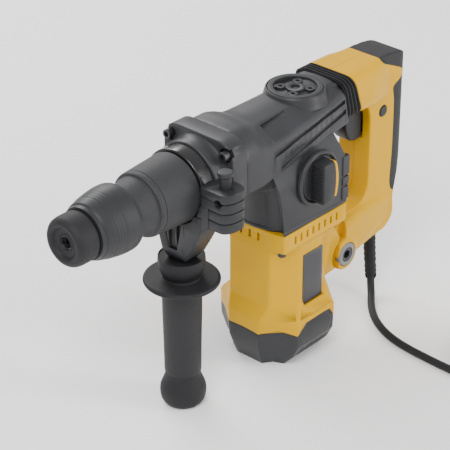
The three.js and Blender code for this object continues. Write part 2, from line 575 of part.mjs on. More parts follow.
// ---------------------------------------------------------------- chuck
function makeChuck() {
  const skirtR = neck.frontR + 0.4;
  const innerX = sleeveX - sleeve.travel - 9;
  piece('locking_sleeve', alongX([
    [sleeveX, skirtR], [sleeveX, sleeve.rearR - 1], [sleeveX - 2, sleeve.rearR], [sleeveX - 10, 27.4],
      [sleeveX - 13, 28.2],
    [sleeveX - 20, 28.8], [sleeveX - 28, sleeve.ringR], [sleeveFrontX + 8, 27.2],
    [sleeveFrontX + 3, 24.6], [sleeveFrontX, sleeve.frontR], [sleeveFrontX, holder.outerR + gap],
    [innerX, holder.outerR + gap], [innerX, skirtR],
  ], { sides: 28 }), 'blackPlastic');
  const springStart = innerX + gap;
  piece('sleeve_spring', coilSpring({ start: springStart, length: 17, radius: 16.2, wire: 0.9, turns: 4,
    axis: 'x',
    offset: [0, 0, axisZ] }), 'steel');
  const depth = cap.dishDepth;
  piece('dust_cap', alongX([
    [capX, 18.5], [capX - 1.2, 21], [capX - 4, cap.outerR], [capX - 14, cap.outerR],
      [capFrontX + 3.5, cap.outerR - 0.9],
    [capFrontX + 1, cap.outerR - 3], [capFrontX, cap.outerR - 5.4], [capFrontX + 0.4, cap.outerR - 7.2],
    [capFrontX + depth, cap.dishR], [capFrontX + depth + 0.6, holder.boreR + 1],
      [capFrontX + depth + 1.1, holder.boreR],
    [capFrontX + depth + 1.2, holder.boreR], [capFrontX + depth + 1.2, holder.noseR + gap],
      [capX, holder.noseR + gap],
  ], { sides: 28 }), 'rubber');
}

// ---------------------------------------------------------------- mode knob
function makeKnob() {
  const z = axisZ - knob.drop;
  const face = -gearCase.halfY - gap;
  const place = { x: knob.x, z, sides: 24 };
  piece('knob_ring', alongY(ring(face - knob.ringHeight, face, knob.gripR + 1.2, knob.ringR), place),
    'blackPlastic');
  const base = alongY(rod(face - knob.baseHeight, face, knob.gripR), place);
  const bar = box(knob.x - knob.barHalf, knob.x + knob.barHalf, face - knob.baseHeight - knob.barHeight,
    face - knob.baseHeight + 1, z - knob.gripR, z + knob.gripR);
  const round = alongY(rod(face - knob.baseHeight - knob.barHeight, face, knob.gripR - 0.4), place);
  const stem = alongY(rod(face - 1, -gearCase.halfY + wall + 4, 6), { x: knob.x, z });
  const notch = box(knob.x - 1.6, knob.x + 1.6, face - 20, face - knob.baseHeight - knob.barHeight + 1.6,
    z + 8, z + 30);
  piece('mode_knob', cut(join(base, bar.intersect(round), stem), notch), 'blackPlastic');
  const pointer = box(knob.x - 1.6 + gap, knob.x + 1.6 - gap, face - knob.baseHeight - knob.barHeight + 0.1,
    face - knob.baseHeight - knob.barHeight + 1.6 - gap, z + 8 + gap, z + knob.gripR - 1.5);
  piece('knob_pointer', pointer, 'yellowPlastic');
}

// ---------------------------------------------------------------- side handle
function makeSideHandle() {
  const x = bandX;
  const hoop = alongX(ring(x - band.width / 2, x + band.width / 2, barrel.seatR + gap, band.outerR),
    { sides: 28 });
  const keep = join(alongX(rod(x - 40, x + 40, barrel.rearR + 1.2), { sides: 28 }),
    alongX(rod(x + band.width / 2, x + 40, barrel.noseR + 2.5), { sides: 28 }));
  const innerKeep = alongX(rod(x - 40, x + 40, barrel.seatR + gap), { sides: 28 });
  const outline = [[x - 12, -10], [x + 12, -22], [x + 12, 18], [x - 12, 18]];
  const scaled = (z, s) => outline.map(([u, v]) => [x + (u - x) * Math.max(s, 0.75), v * s, z]);
  const funnel = loft([scaled(side.ballZ + 4, 0.45), scaled(side.ballZ + 14, 0.7), scaled(axisZ - 40, 1),
    scaled(axisZ - 18, 1.25)]);
  const web = extrudeY([[x - 11, axisZ - 45], [x + 11, axisZ - 45], [x + 11, axisZ - 8],
    [x - 11, axisZ - 8]], block.y + 4, -8);
  const steps = [0, 1, 2, 3].map((i) => {
    const inset = i % 2;
    const outlineXY = roundedRect(block.x - block.halfX + inset, block.x + block.halfX - inset,
      block.y - block.halfY + inset,
      block.y + block.halfY, 9, 4);
    return extrudeZ(outlineXY, axisZ - block.drop + i * 9,
      axisZ - block.drop + (i + 1) * 9 + (i < 3 ? 0.01 : 0));
  });
  const pinHole = alongZ(rod(axisZ - block.drop + 8, axisZ + block.top + 3, 5 + gap),
    { x: block.x, y: block.y - 1, sides: 20 });
  const rodHole = alongX(rod(block.x - 30, block.x + 30, 3.6), { y: block.y - 4, z: axisZ + 3, sides: 6 });
  const socket = alongZ(rod(0, side.ballZ + 12, 5), { x, sides: 20 });
  const solidBody = cut(join(funnel, web, ...steps),
    cut(keep, box(x - band.width / 2, x + band.width / 2, -60, 60, 0, 400)), innerKeep);
  piece('clamp_body', cut(join(solidBody, hoop), pinHole, rodHole, socket), 'blackPlastic');

  const headZ = axisZ + block.top + 15;
  const stem = alongZ([[axisZ - block.drop + 14, 0], [axisZ - block.drop + 14, 5], [headZ - 3, 5],
    [headZ - 3, 6.8],
    [headZ, 6.8], [headZ, 0]], { x: block.x, y: block.y - 1, sides: 20 });
  const crossHole = alongX(rod(block.x - 30, block.x + 30, 4.2),
    { y: block.y - 4, z: axisZ + 3, sides: 6 });
  piece('depth_stop_button', cut(stem, crossHole), 'blackPlastic');

  const bottom = 0;
  const gripProfile = [[bottom, 0], [bottom, 12], [2.5, 16.5], [8, 19.6], [14, side.endR], [20, 19],
    [27, 15.8],
    [34, 15.2], [60, 16], [90, side.gripR], [side.flangeZ - 4, side.gripR - 0.4],
      [side.flangeZ - 3, side.flangeR - 2],
    [side.flangeZ - 0.5, side.flangeR], [side.flangeZ + 2, side.flangeR - 1], [side.flangeZ + 2.4, 18.5],
    [side.ballZ - 8, 19.6], [side.ballZ, side.ballR], [side.ballZ + 3.5, side.ballR - 0.6],
      [side.ballZ + 3.5, 0]];
  const boltRoom = alongZ(rod(60, side.ballZ + 4, 4.6), { x, sides: 16 });
  piece('side_grip', cut(alongZ(gripProfile, { x, sides: 24 }), boltRoom), 'rubber');
  piece('clamp_bolt', alongZ(rod(62, side.ballZ + 11, 4.2), { x, sides: 16 }), 'steel');
}

// ---------------------------------------------------------------- D-handle
function handleOutline() {
  const back = handleReach;
  const top = axisZ + cover.rearTop;
  return [
    [handleX, arm.gapRoof + 3], [handleX, top], [back - 48, top], [back - 23, top - 3], [back - 6, top - 7],
    [back, top - 14], [back + 1, top - 22], [back - 3, axisZ - 8], [back - 1, axisZ - 40],
      [back - 2, axisZ - 70],
    [back - 6, axisZ - 100], [back - 7, axisZ - 118], [back - 8, axisZ - 132], [back - 18, arm.bottom + 9],
    [112, arm.bottom + 6], [pivot.x, arm.bottom - 4], [pivot.x - 12, pivot.z - 8],
      [pivot.x - 14, pivot.z + 8],
    [pivot.x - 6, arm.gapFloor - 8], [pivot.x + 8, arm.gapFloor], [grip.frontX - 9, arm.gapFloor],
    [grip.frontX, arm.gapFloor + 12], [grip.frontX, arm.gapRoof - 12], [grip.frontX - 3, arm.gapRoof],
  ];
}

function makeHandle() {
  const round = extrudeZ(roundedRect(0, handleReach + 1, -grip.halfY, grip.halfY, grip.halfY - 3), 0, 400);
  const full = extrudeY(handleOutline(), -grip.halfY, grip.halfY).intersect(round);
  const shoulder = loft([
    sectionX(handleX, cover.rearHalfY - 1, arm.gapRoof + 3, axisZ + cover.rearTop, 12),
    sectionX(handleX + 20, cover.rearHalfY - 2, arm.gapRoof + 1, axisZ + cover.rearTop, 12),
    sectionX(handleReach - 32, grip.halfY + 1, arm.gapRoof - 2, axisZ + cover.rearTop - 2, 10),
  ]);
  const cheeks = alongY(rod(-pivot.y, pivot.y, pivot.bossR), { x: pivot.x, z: pivot.z, sides: 20 });
  const foot = loft([
    sectionX(pivot.x, pivot.y - 2, pivot.z - 13, arm.gapFloor - 2, 10),
    sectionX(grip.frontX + 5, grip.halfY + 4, arm.bottom + 7, arm.gapFloor, 10),
    sectionX(handleReach - 16, grip.halfY - 1, arm.bottom + 18, arm.gapFloor, 10),
  ]);
  const body = join(full, shoulder, cheeks, foot);

  const rearX = handleReach - 8;
  const rearZone = (grow) => extrudeY([
    [rearX - 25 - grow, axisZ + 60], [rearX - 2 - grow, axisZ + 14 - grow], [rearX - 6 - grow, axisZ - 2],
      [rearX - 7 - grow, axisZ - 60],
    [rearX - 9 - grow, axisZ - 108 - grow], [handleReach + 20, axisZ - 116 - grow],
      [handleReach + 20, axisZ + 60],
  ], -40, 40);
  piece('grip_cover', body.intersect(rearZone(0)), 'rubber');

  const lugRoom = join(
    box(30, pivot.x + 1, -14, 14, pivot.z - 14, pivot.z + 29),
    alongY(rod(-14, 14, 13.5), { x: pivot.x, z: pivot.z }),
    box(30, pivot.x - 4, -14, 14, pivot.z - 30, pivot.z + 40),
  );
  const bore = alongY(rod(-60, 60, pivot.boreR + gap), { x: pivot.x, z: pivot.z });
  const sinks = [-1, 1].map((end) => alongY(rod(...[pivot.y - 5,
    pivot.y + 5].map((y) => y * end).sort((a, b) => a - b),
    pivot.capR + gap), { x: pivot.x, z: pivot.z, sides: 20 }));
  const triggerRoom = box(trigger.x - 2, grip.frontX + 12, -trigger.halfY - gap, trigger.halfY + gap,
    trigger.z - gap, trigger.z + trigger.height + gap);
  const switchRoom = box(grip.frontX + 8, grip.frontX + 33, -12, 12, trigger.z - 6, trigger.z + 40);
  const topHollow = box(handleX - 1, rearX - 26, -17, 17, arm.gapRoof + 9, axisZ + cover.rearTop - 5);
  const lowHollow = box(pivot.x + 20, rearX - 14, -11, 11, arm.bottom + 16, arm.gapFloor - 6);
  const gripHollow = box(grip.frontX + 10, rearX - 14, -11, 11, arm.gapFloor - 7, trigger.z - 5);
  const lockHole = alongY(rod(-60, 0, lock.radius + gap), { x: lock.x, z: lock.z });
  const reliefHole = alongZ(rod(arm.bottom - 10, arm.bottom + 20, 7 + gap), { x: relief.x, sides: 20 });
  const hollow = cut(body, rearZone(gap), lugRoom, bore, ...sinks, triggerRoom, switchRoom, topHollow,
    lowHollow, gripHollow,
    lockHole, reliefHole);
  const half = (end) => {
    const [near, far] = [gap / 2, 60].map((y) => y * end).sort((a, b) => a - b);
    return hollow.intersect(box(0, 300, near, far, 0, 400));
  };
  piece('handle_shell_left', half(-1), 'yellowPlastic');
  piece('handle_shell_right', half(1), 'yellowPlastic');

  const place = { x: pivot.x, z: pivot.z };
  const hexBore = alongY(rod(-60, -pivot.y + 4, 6.5), { ...place, sides: 6 });
  const bolt3d = join(alongY(rod(-pivot.y + 1, pivot.y - 6, pivot.boreR), place),
    alongY(rod(-pivot.y - 0.6, -pivot.y + 5 - gap,
    pivot.capR), { ...place, sides: 20 }));
  piece('pivot_bolt', cut(bolt3d, hexBore), 'grey');
  const nutBore = alongY(rod(pivot.y - 4, 60, 6.5), { ...place, sides: 6 });
  piece('pivot_nut', cut(alongY(rod(pivot.y - 5 + gap, pivot.y + 0.6, pivot.capR),
    { ...place, sides: 20 }), nutBore), 'grey');

  makeBellows();
  const leverZ = trigger.z;
  const lever = join(
    extrudeY([[trigger.x, leverZ + trigger.height], [trigger.x + 1, leverZ + 12],
      [trigger.x + 8, leverZ + 2],
      [trigger.x + 14, leverZ], [grip.frontX - gap, leverZ],
        [grip.frontX - gap, leverZ + trigger.height]], -trigger.halfY, trigger.halfY),
    box(grip.frontX - 1, grip.frontX + 4, -trigger.halfY + 3, trigger.halfY - 3, leverZ + 6,
      leverZ + trigger.height - 6),
  );
  piece('trigger', lever, 'blackPlastic');
  piece('switch_body', box(grip.frontX + 12, grip.frontX + 32, -11, 11, trigger.z - 5, trigger.z + 15),
    'carbon');
  const lockFace = -grip.halfY - 1.2;
  piece('lock_button', alongY(rod(lockFace, lockFace + 9, lock.radius), { x: lock.x, z: lock.z }),
    'blackPlastic');
}

function makeBellows() {
  const sections = (inset) => {
    const count = bellows.ribs * 4;
    return Array.from({ length: count + 1 }, (_, i) => {
      const dip = [0, 1, 1, 0][i % 4] * bellows.depth * (i > 0 && i < count ? 1 : 0);
      const shrink = dip + inset;
      const overshoot = inset && (i === 0 || i === count) ? (i ? 1 : -1) : 0;
      const x = bellowsX + bellows.length * i / count + overshoot;
      return sectionX(x, cover.rearHalfY - 1 - shrink, arm.gapRoof + 3 + shrink,
        axisZ + cover.rearTop - shrink, 11 - shrink / 2, 2);
    });
  };
  piece('bellows', cut(loft(sections(0)), loft(sections(bellows.wall))), 'rubber');
}

// ---------------------------------------------------------------- cord
// The cord lies on the floor from the handle's foot to the side of the coil.
const cordRoute = [
  [126.6, -9.4, 19.2], [122.6, -13.2, 10.4], [115.5, -19.5, 5.4], [106, -27, 3.8], [95, -37, 3.7],
    [84, -50, 3.7],
  [75, -66, 3.7], [69, -84, 3.7], [66, -104, 3.7], [64.9, -124, 3.7], [64.4, -142, 3.7], [64.4, -160, 3.7],
];

// Rings square to a bent line, each with its own radius.
function ringsAlong(points, radii, sides) {
  const line = points.map((p) => new THREE.Vector3(...p));
  return line.map((centre, i) => {
    const tangent = line[Math.min(i + 1, line.length - 1)].clone().sub(line[Math.max(i - 1,
      0)]).normalize();
    const u = new THREE.Vector3(0, 1, 0).cross(tangent).normalize();
    const v = tangent.clone().cross(u);
    return Array.from({ length: sides }, (_, k) => {
      const angle = (k / sides) * TAU;
      const offset = u.clone().multiplyScalar(Math.cos(angle)).addScaledVector(v, Math.sin(angle));
      return centre.clone().addScaledVector(offset, radii[i]).toArray();
    });
  });
}

function bentTube(points, radius, sides, steps) {
  const section = Array.from({ length: sides }, (_, i) => {
    const angle = (i / sides) * TAU;
    return new THREE.Vector2(radius * Math.cos(angle), radius * Math.sin(angle));
  });
  const extrudePath = new THREE.CatmullRomCurve3(points.map((p) => new THREE.Vector3(...p)));
  return solid(new THREE.ExtrudeGeometry(new THREE.Shape(section), { steps, extrudePath }));
}

function makeCord() {
  const line = [[relief.x, 0, relief.top], [relief.x, 0, 66], [132.8, -1.4, 54], [130.6, -4.4, 38],
    [127, -9, 20.4]];
  piece('strain_relief', loft(ringsAlong(line, [6.6, 6.6, 6.3, 5.7, 4.9], 14)), 'rubber');
  piece('cord', bentTube(cordRoute, cord.radius, 8, 34), 'rubber');
  piece('cord_coil', alongZ(ring(0.1, cord.coilHeight, cord.coilR - cord.coilHalfWidth,
    cord.coilR + cord.coilHalfWidth),
    { x: coil.x, y: coil.y, sides: 28 }), 'rubber');
  makePlug(plug.x, plug.y);
}

function makePlug(x, y) {
  const body = loft([
    sectionX(x - 24, 5, 4, 14, 4), sectionX(x - 18, 8, 1.5, 17.5, 6), sectionX(x, 12, 0.1, 22, 8),
      sectionX(x + 12, 17, 0.1, 26, 8),
    sectionX(x + 16, 17, 0.1, 26, 8),
  ]);
  const pins = [-9.5, 9.5].map((dy) => alongX(rod(x + 15, x + 35, 2.4), { y: y + dy, z: 13, sides: 12 }));
  piece('plug', join(body.translate([0, y, 0]), ...pins), 'rubber');
}

makeTailCap();
makeMotorHousing();
makeMotorInside();
makeGearCase();
makeTopCover();
makeBarrel();
makeSpindle();
makeStrikingGear();
makeChuck();
makeKnob();
makeSideHandle();
makeHandle();
makeCord();

export default part;
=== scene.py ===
import math

import bmesh
import bpy
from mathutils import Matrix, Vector
from mathutils.geometry import interpolate_bezier


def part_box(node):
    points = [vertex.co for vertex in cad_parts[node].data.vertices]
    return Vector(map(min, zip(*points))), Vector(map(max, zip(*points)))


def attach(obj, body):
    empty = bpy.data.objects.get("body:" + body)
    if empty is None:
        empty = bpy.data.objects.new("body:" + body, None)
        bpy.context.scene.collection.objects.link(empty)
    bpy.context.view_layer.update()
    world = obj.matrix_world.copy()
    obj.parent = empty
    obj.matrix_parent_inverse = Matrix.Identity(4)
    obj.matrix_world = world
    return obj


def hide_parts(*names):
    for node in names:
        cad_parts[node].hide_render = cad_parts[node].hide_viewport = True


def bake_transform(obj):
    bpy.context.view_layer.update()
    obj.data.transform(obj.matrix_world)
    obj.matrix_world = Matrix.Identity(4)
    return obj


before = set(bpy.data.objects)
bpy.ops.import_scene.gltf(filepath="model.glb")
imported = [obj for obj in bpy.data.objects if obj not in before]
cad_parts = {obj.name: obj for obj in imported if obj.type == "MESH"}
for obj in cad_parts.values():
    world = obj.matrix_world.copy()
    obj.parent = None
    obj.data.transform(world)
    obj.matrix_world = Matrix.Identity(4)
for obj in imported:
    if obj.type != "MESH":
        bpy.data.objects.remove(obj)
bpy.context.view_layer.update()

MM = 0.001
AXIS_Z = 216.0                     # barrel axis above the floor, as in the CAD
TAU = math.tau

FLOOR_HALF = 6.0                   # metres
FLANGE_HALF, FLANGE_LOW, FLANGE_TOP = 38.5, 178.5, 254.5
TAIL_FLAT_X, TAIL_FLAT_Y = 25, 17.5
VENT_LOW, VENT_HIGH, VENT_HALF = 127.6, 135.6, 1.4
BALL_Z, BALL_R = 143, 20.6         # the ball at the top of the side grip
BLOCK_PLACE = (-122.5, -46.5)      # the stepped block that holds the depth stop
BLOCK_LOW, BLOCK_HEIGHT, BLOCK_STEPS = AXIS_Z - 24, 36, 4
HANDLE_HALF = 18


def box_mm(node):
    low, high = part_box(node)
    return [v / MM for v in low], [v / MM for v in high]


# ------------------------------------------------------------------ camera, floor and light
def make_camera():
    data = bpy.data.cameras.new("camera")
    data.sensor_width = 36.0
    data.lens = 152.0
    data.clip_end = 20.0
    camera = bpy.data.objects.new("camera", data)
    bpy.context.scene.collection.objects.link(camera)
    azimuth, elevation, distance = math.radians(48.0), math.radians(30.0), 1.6
    target = Vector((-0.086, -0.014, 0.165))
    back = Vector((-math.cos(elevation) * math.sin(azimuth), -math.cos(elevation) * math.cos(azimuth),
                   math.sin(elevation)))
    camera.location = target + back * distance
    camera.rotation_euler = back.to_track_quat("Z", "Y").to_euler()
    bpy.context.scene.camera = camera


def area_light(name, location, aim, size, power):
    data = bpy.data.lights.new(name, "AREA")
    data.shape = "RECTANGLE"
    data.size, data.size_y = size
    data.energy = power
    light = bpy.data.objects.new(name, data)
    light.location = location
    light.rotation_euler = (Vector(location) - Vector(aim)).to_track_quat("Z", "Y").to_euler()
    bpy.context.scene.collection.objects.link(light)


def make_studio():
    mesh = bpy.data.meshes.new("floor")
    mesh.from_pydata([(x * FLOOR_HALF, y * FLOOR_HALF, 0) for x,
            y in ((-1, -1), (1, -1), (1, 1), (-1, 1))], [], [(0, 1, 2, 3)])
    floor = bpy.data.objects.new("floor", mesh)
    bpy.context.scene.collection.objects.link(floor)
    material, shader, _ = new_material("floor", (0.96, 0.96, 0.96), 0.8)
    shader.inputs["Specular IOR Level"].default_value = 0.2
    mesh.materials.append(material)
    world = bpy.data.worlds.new("studio")
    world.use_nodes = True
    world.node_tree.nodes["Background"].inputs["Color"].default_value = (1, 1, 1, 1)
    world.node_tree.nodes["Background"].inputs["Strength"].default_value = 0.9
    bpy.context.scene.world = world
    aim = (-0.05, 0.0, 0.15)
    area_light("key", (-1.1, -0.5, 1.5), aim, (0.8, 0.8), 26)
    area_light("side", (0.7, -1.4, 0.7), aim, (0.4, 1.2), 16)
    area_light("rim", (0.4, 1.3, 1.1), aim, (1.2, 0.4), 22)


# ------------------------------------------------------------------ materials
def new_material(name, colour, roughness):
    material = bpy.data.materials.new(name)
    material.use_nodes = True
    tree = material.node_tree
    shader = tree.nodes["Principled BSDF"]
    shader.inputs["Base Color"].default_value = (*colour, 1)
    shader.inputs["Roughness"].default_value = roughness
    return material, shader, tree


def add_noise(tree, scale, detail=3.0, stretch=(1, 1, 1)):
    coords = tree.nodes.new("ShaderNodeTexCoord")
    mapping = tree.nodes.new("ShaderNodeMapping")
    mapping.inputs["Scale"].default_value = stretch
    noise = tree.nodes.new("ShaderNodeTexNoise")
    noise.inputs["Scale"].default_value = scale
    noise.inputs["Detail"].default_value = detail
    tree.links.new(coords.outputs["Object"], mapping.inputs["Vector"])
    tree.links.new(mapping.outputs["Vector"], noise.inputs["Vector"])
    return noise.outputs["Fac"]


def ramp(tree, value, low, high, start=0.3, end=0.7):
    node = tree.nodes.new("ShaderNodeMapRange")
    for socket, number in (("From Min", start), ("From Max", end), ("To Min", low), ("To Max", high)):
        node.inputs[socket].default_value = number
    tree.links.new(value, node.inputs["Value"])
    return node.outputs["Result"]


def add_bump(tree, shader, height, depth):
    bump = tree.nodes.new("ShaderNodeBump")
    bump.inputs["Strength"].default_value = 1.0
    bump.inputs["Distance"].default_value = depth
    tree.links.new(height, bump.inputs["Height"])
    tree.links.new(bump.outputs["Normal"], shader.inputs["Normal"])
    return bump


def two_tones(tree, shader, value, dark, light):
    mix = tree.nodes.new("ShaderNodeMix")
    mix.data_type = "RGBA"
    mix.inputs["A"].default_value = (*dark, 1)
    mix.inputs["B"].default_value = (*light, 1)
    tree.links.new(value, mix.inputs["Factor"])
    tree.links.new(mix.outputs["Result"], shader.inputs["Base Color"])


def moulded(name, colour, roughness, grain=900.0, depth=0.00006, spread=0.12, level=0.4):
    """Moulded plastic or rubber: spark-eroded grain, slight mottling in tone and in gloss."""
    material, shader, tree = new_material(name, colour, roughness)
    shader.inputs["Specular IOR Level"].default_value = level
    fine = add_noise(tree, grain, 2.0)
    broad = add_noise(tree, 28.0, 4.0)
    add_bump(tree, shader, fine, depth)
    dark = tuple(c * (1 - spread) for c in colour)
    light = tuple(min(1.0, c * (1 + spread)) for c in colour)
    two_tones(tree, shader, ramp(tree, broad, 0, 1), dark, light)
    tree.links.new(ramp(tree, broad, roughness - 0.05, roughness + 0.06), shader.inputs["Roughness"])
    return material


def pebbled(name, colour, roughness, cells, depth):
    """Leather-like grip texture of small raised cells, with painted shade in the crevices between them."""
    material, shader, tree = new_material(name, colour, roughness)
    shader.inputs["Specular IOR Level"].default_value = 0.28
    coords = tree.nodes.new("ShaderNodeTexCoord")
    cell = tree.nodes.new("ShaderNodeTexVoronoi")
    cell.inputs["Scale"].default_value = cells
    tree.links.new(coords.outputs["Object"], cell.inputs["Vector"])
    add_bump(tree, shader, ramp(tree, cell.outputs["Distance"], 1, 0, 0.0, 0.75), depth)
    # painted shade: the crevices between the raised cells are coloured darker than the cell tops, following
    # the bump height
    dark = tuple(c * 0.8 for c in colour)
    two_tones(tree, shader, ramp(tree, cell.outputs["Distance"], 1, 0, 0.1, 0.7), dark, colour)
    return material


def machined(name, colour, roughness, metallic=1.0, stretch=(1, 1, 1)):
    """Turned or ground metal with fine drawn lines."""
    material, shader, tree = new_material(name, colour, roughness)
    shader.inputs["Metallic"].default_value = metallic
    lines = add_noise(tree, 400.0, 2.0, stretch)
    add_bump(tree, shader, lines, 0.00002)
    tree.links.new(ramp(tree, lines, roughness - 0.08, roughness + 0.1), shader.inputs["Roughness"])
    two_tones(tree, shader, ramp(tree, add_noise(tree, 40.0), 0, 1), tuple(c * 0.85 for c in colour),
            colour)
    return material


def laminated(name, colour):
    """A stack of thin punched sheets, seen as fine lines across Z."""
    material, shader, tree = new_material(name, colour, 0.45)
    shader.inputs["Metallic"].default_value = 0.8
    coords = tree.nodes.new("ShaderNodeTexCoord")
    wave = tree.nodes.new("ShaderNodeTexWave")
    wave.bands_direction = "Z"
    wave.inputs["Scale"].default_value = 300.0
    tree.links.new(coords.outputs["Object"], wave.inputs["Vector"])
    add_bump(tree, shader, wave.outputs["Fac"], 0.0001)
    two_tones(tree, shader, wave.outputs["Fac"], tuple(c * 0.7 for c in colour), colour)
    return material


def make_materials():
    black = (0.02, 0.0205, 0.0225)
    return {
        "black": moulded("black_moulding", black, 0.46, level=0.28),
        "case": moulded("casing_moulding", (0.026, 0.0265, 0.029), 0.42, 700.0, 0.00005, level=0.3),
        "gloss": moulded("gloss_moulding", (0.01, 0.01, 0.011), 0.2, 300.0, 0.00001, 0.08, 0.4),
        "textured": pebbled("textured_moulding", (0.032, 0.0325, 0.035), 0.55, 1500.0, 0.00012),
        "yellow": moulded("yellow_moulding", (0.62, 0.335, 0.0), 0.36, 800.0, 0.00003, 0.02, 0.1),
        "rubber": moulded("soft_rubber", (0.014, 0.014, 0.0155), 0.6, 1100.0, 0.00008, 0.15, 0.25),
        "grip": pebbled("grip_rubber", (0.02, 0.02, 0.022), 0.6, 900.0, 0.0002),
        "label": moulded("label_film", (0.045, 0.045, 0.05), 0.34, 500.0, 0.00001),
        "washer": moulded("grey_moulding", (0.16, 0.165, 0.17), 0.4, 700.0, 0.00004),
        "steel": machined("ground_steel", (0.55, 0.56, 0.58), 0.28),
        "screw": machined("black_oxide_steel", (0.06, 0.06, 0.065), 0.38, 0.7),
        "aluminium": machined("turned_aluminium", (0.7, 0.7, 0.72), 0.35),
        "copper": machined("copper_bars", (0.75, 0.36, 0.2), 0.3),
        "carbon": moulded("carbon_block", (0.02, 0.02, 0.02), 0.6, 500.0, 0.0001),
        "laminated": laminated("lamination_stack", (0.2, 0.19, 0.18)),
        "dark": moulded("shadowed_recess", (0.008, 0.008, 0.009), 0.8, 500.0, 0.0001),
    }


# ------------------------------------------------------------------ outlines, in millimetres
def rounded(corners, radii, steps=5):
    """A polygon whose corners are rounded, each to its own radius, always with the same point count."""
    if not hasattr(radii, "__len__"):
        radii = [radii] * len(corners)
    outline = []
    count = len(corners)
    for i, radius in enumerate(radii):
        corner = Vector(corners[i])
        before = Vector(corners[i - 1]) - corner
        after = Vector(corners[(i + 1) % count]) - corner
        reach = min(radius, 0.48 * before.length, 0.48 * after.length)
        start, end = corner + before.normalized() * reach, corner + after.normalized() * reach
        for k in range(steps + 1):
            t = k / steps
            outline.append(tuple(start * (1 - t) ** 2 + corner * 2 * t * (1 - t) + end * t ** 2))
    return outline


def soften(profile, radius, steps=4):
    """An open line with its inner corners rounded."""
    points = [Vector(p) for p in profile]
    result = [tuple(points[0])]
    for before, corner, after in zip(points, points[1:], points[2:]):
        back, ahead = before - corner, after - corner
        reach = min(radius, 0.48 * back.length, 0.48 * ahead.length)
        start, end = corner + back.normalized() * reach, corner + ahead.normalized() * reach
        for k in range(steps + 1):
            t = k / steps
            result.append(tuple(start * (1 - t) ** 2 + corner * 2 * t * (1 - t) + end * t ** 2))
    result.append(tuple(points[-1]))
    return result


def rectangle(u0, u1, v0, v1, radius, steps=5):
    return rounded([(u0, v0), (u1, v0), (u1, v1), (u0, v1)], radius, steps)


def circle(u, v, radius, count=40):
    return [(u + radius * math.cos(TAU * i / count),
            v + radius * math.sin(TAU * i / count)) for i in range(count)]


def mix(a, b, t):
    return a + (b - a) * t


def ease(t):
    t = min(1.0, max(0.0, t))
    return t * t * (3 - 2 * t)


def place(axis, along, u, v):
    """A point at a distance along an axis, with u and v across it in the row's own order."""
    return {"x": (along, u, v), "y": (u, along, v), "z": (u, v, along)}[axis]


# ------------------------------------------------------------------ meshes
class Shape:
    """Closed shells gathered into one mesh, drawn in millimetres."""

    def __init__(self):
        self.bm = bmesh.new()

    def loft(self, rings, closed=False):
        rows = [[self.bm.verts.new(Vector(p) * MM) for p in ring] for ring in rings]
        count = len(rows[0])
        pairs = list(zip(rows, rows[1:]))
        if closed:
            pairs.append((rows[-1], rows[0]))
        faces = []
        for lower, upper in pairs:
            for i in range(count):
                j = (i + 1) % count
                faces.append(self.bm.faces.new((lower[i], lower[j], upper[j], upper[i])))
        if not closed:
            faces.append(self.bm.faces.new(list(reversed(rows[0]))))
            faces.append(self.bm.faces.new(rows[-1]))
        bmesh.ops.recalc_face_normals(self.bm, faces=faces)
        return self

    def lathe(self, profile, axis="x", centre=(0.0, AXIS_Z), sides=96):
        """Turns [distance, radius] pairs round an axis; the profile ends on the axis or closes on itself."""
        on_axis = profile[0][1] == 0 and profile[-1][1] == 0
        line = profile[1:-1] if on_axis else profile
        u, v = centre
        rings = [[place(axis, d, u + r * math.cos(TAU * i / sides), v + r * math.sin(TAU * i / sides))
                  for i in range(sides)] for d, r in line]
        return self.loft(rings, closed=not on_axis)

    def rod(self, start, end, radius, axis="x", centre=(0.0, AXIS_Z), sides=96):
        return self.lathe([(start, 0), (start, radius), (end, radius), (end, 0)], axis, centre, sides)

    def prism(self, outline, axis, start, end):
        return self.loft([[place(axis, d, u, v) for u, v in outline] for d in (start, end)])

    def block(self, x0, x1, y0, y1, z0, z1):
        return self.prism([(x0, y0), (x1, y0), (x1, y1), (x0, y1)], "z", z0, z1)

    def object(self, name):
        mesh = bpy.data.meshes.new(name)
        self.bm.to_mesh(mesh)
        self.bm.free()
        obj = bpy.data.objects.new(name, mesh)
        bpy.context.scene.collection.objects.link(obj)
        return obj


def settle(obj):
    """Puts the modifiers' result into the mesh."""
    depsgraph = bpy.context.evaluated_depsgraph_get()
    mesh = bpy.data.meshes.new_from_object(obj.evaluated_get(depsgraph))
    obj.modifiers.clear()
    old = obj.data
    obj.data = mesh
    bpy.data.meshes.remove(old)
    return obj


def combine(obj, other, operation):
    """Cuts, joins or keeps what another object covers, then throws that object away."""
    modifier = obj.modifiers.new("combine", "BOOLEAN")
    modifier.solver = "EXACT"
    modifier.operation = operation
    modifier.object = other
    settle(obj)
    bpy.data.objects.remove(other)
    return obj


def carve(obj, tool, operation="DIFFERENCE"):
    """Does the same with a shape."""
    return combine(obj, tool.object("cutter"), operation)


def duplicate(obj, name):
    copy = obj.copy()
    copy.data = obj.data.copy()
    copy.name = name
    bpy.context.scene.collection.objects.link(copy)
    return copy


def melt(obj, voxel, rounds):
    """Fuses overlapping shells and rounds their creases."""
    remesh = obj.modifiers.new("fuse", "REMESH")
    remesh.mode = "VOXEL"
    remesh.voxel_size = voxel
    smooth = obj.modifiers.new("round", "SMOOTH")
    smooth.factor = 0.5
    smooth.iterations = rounds
    return settle(obj)


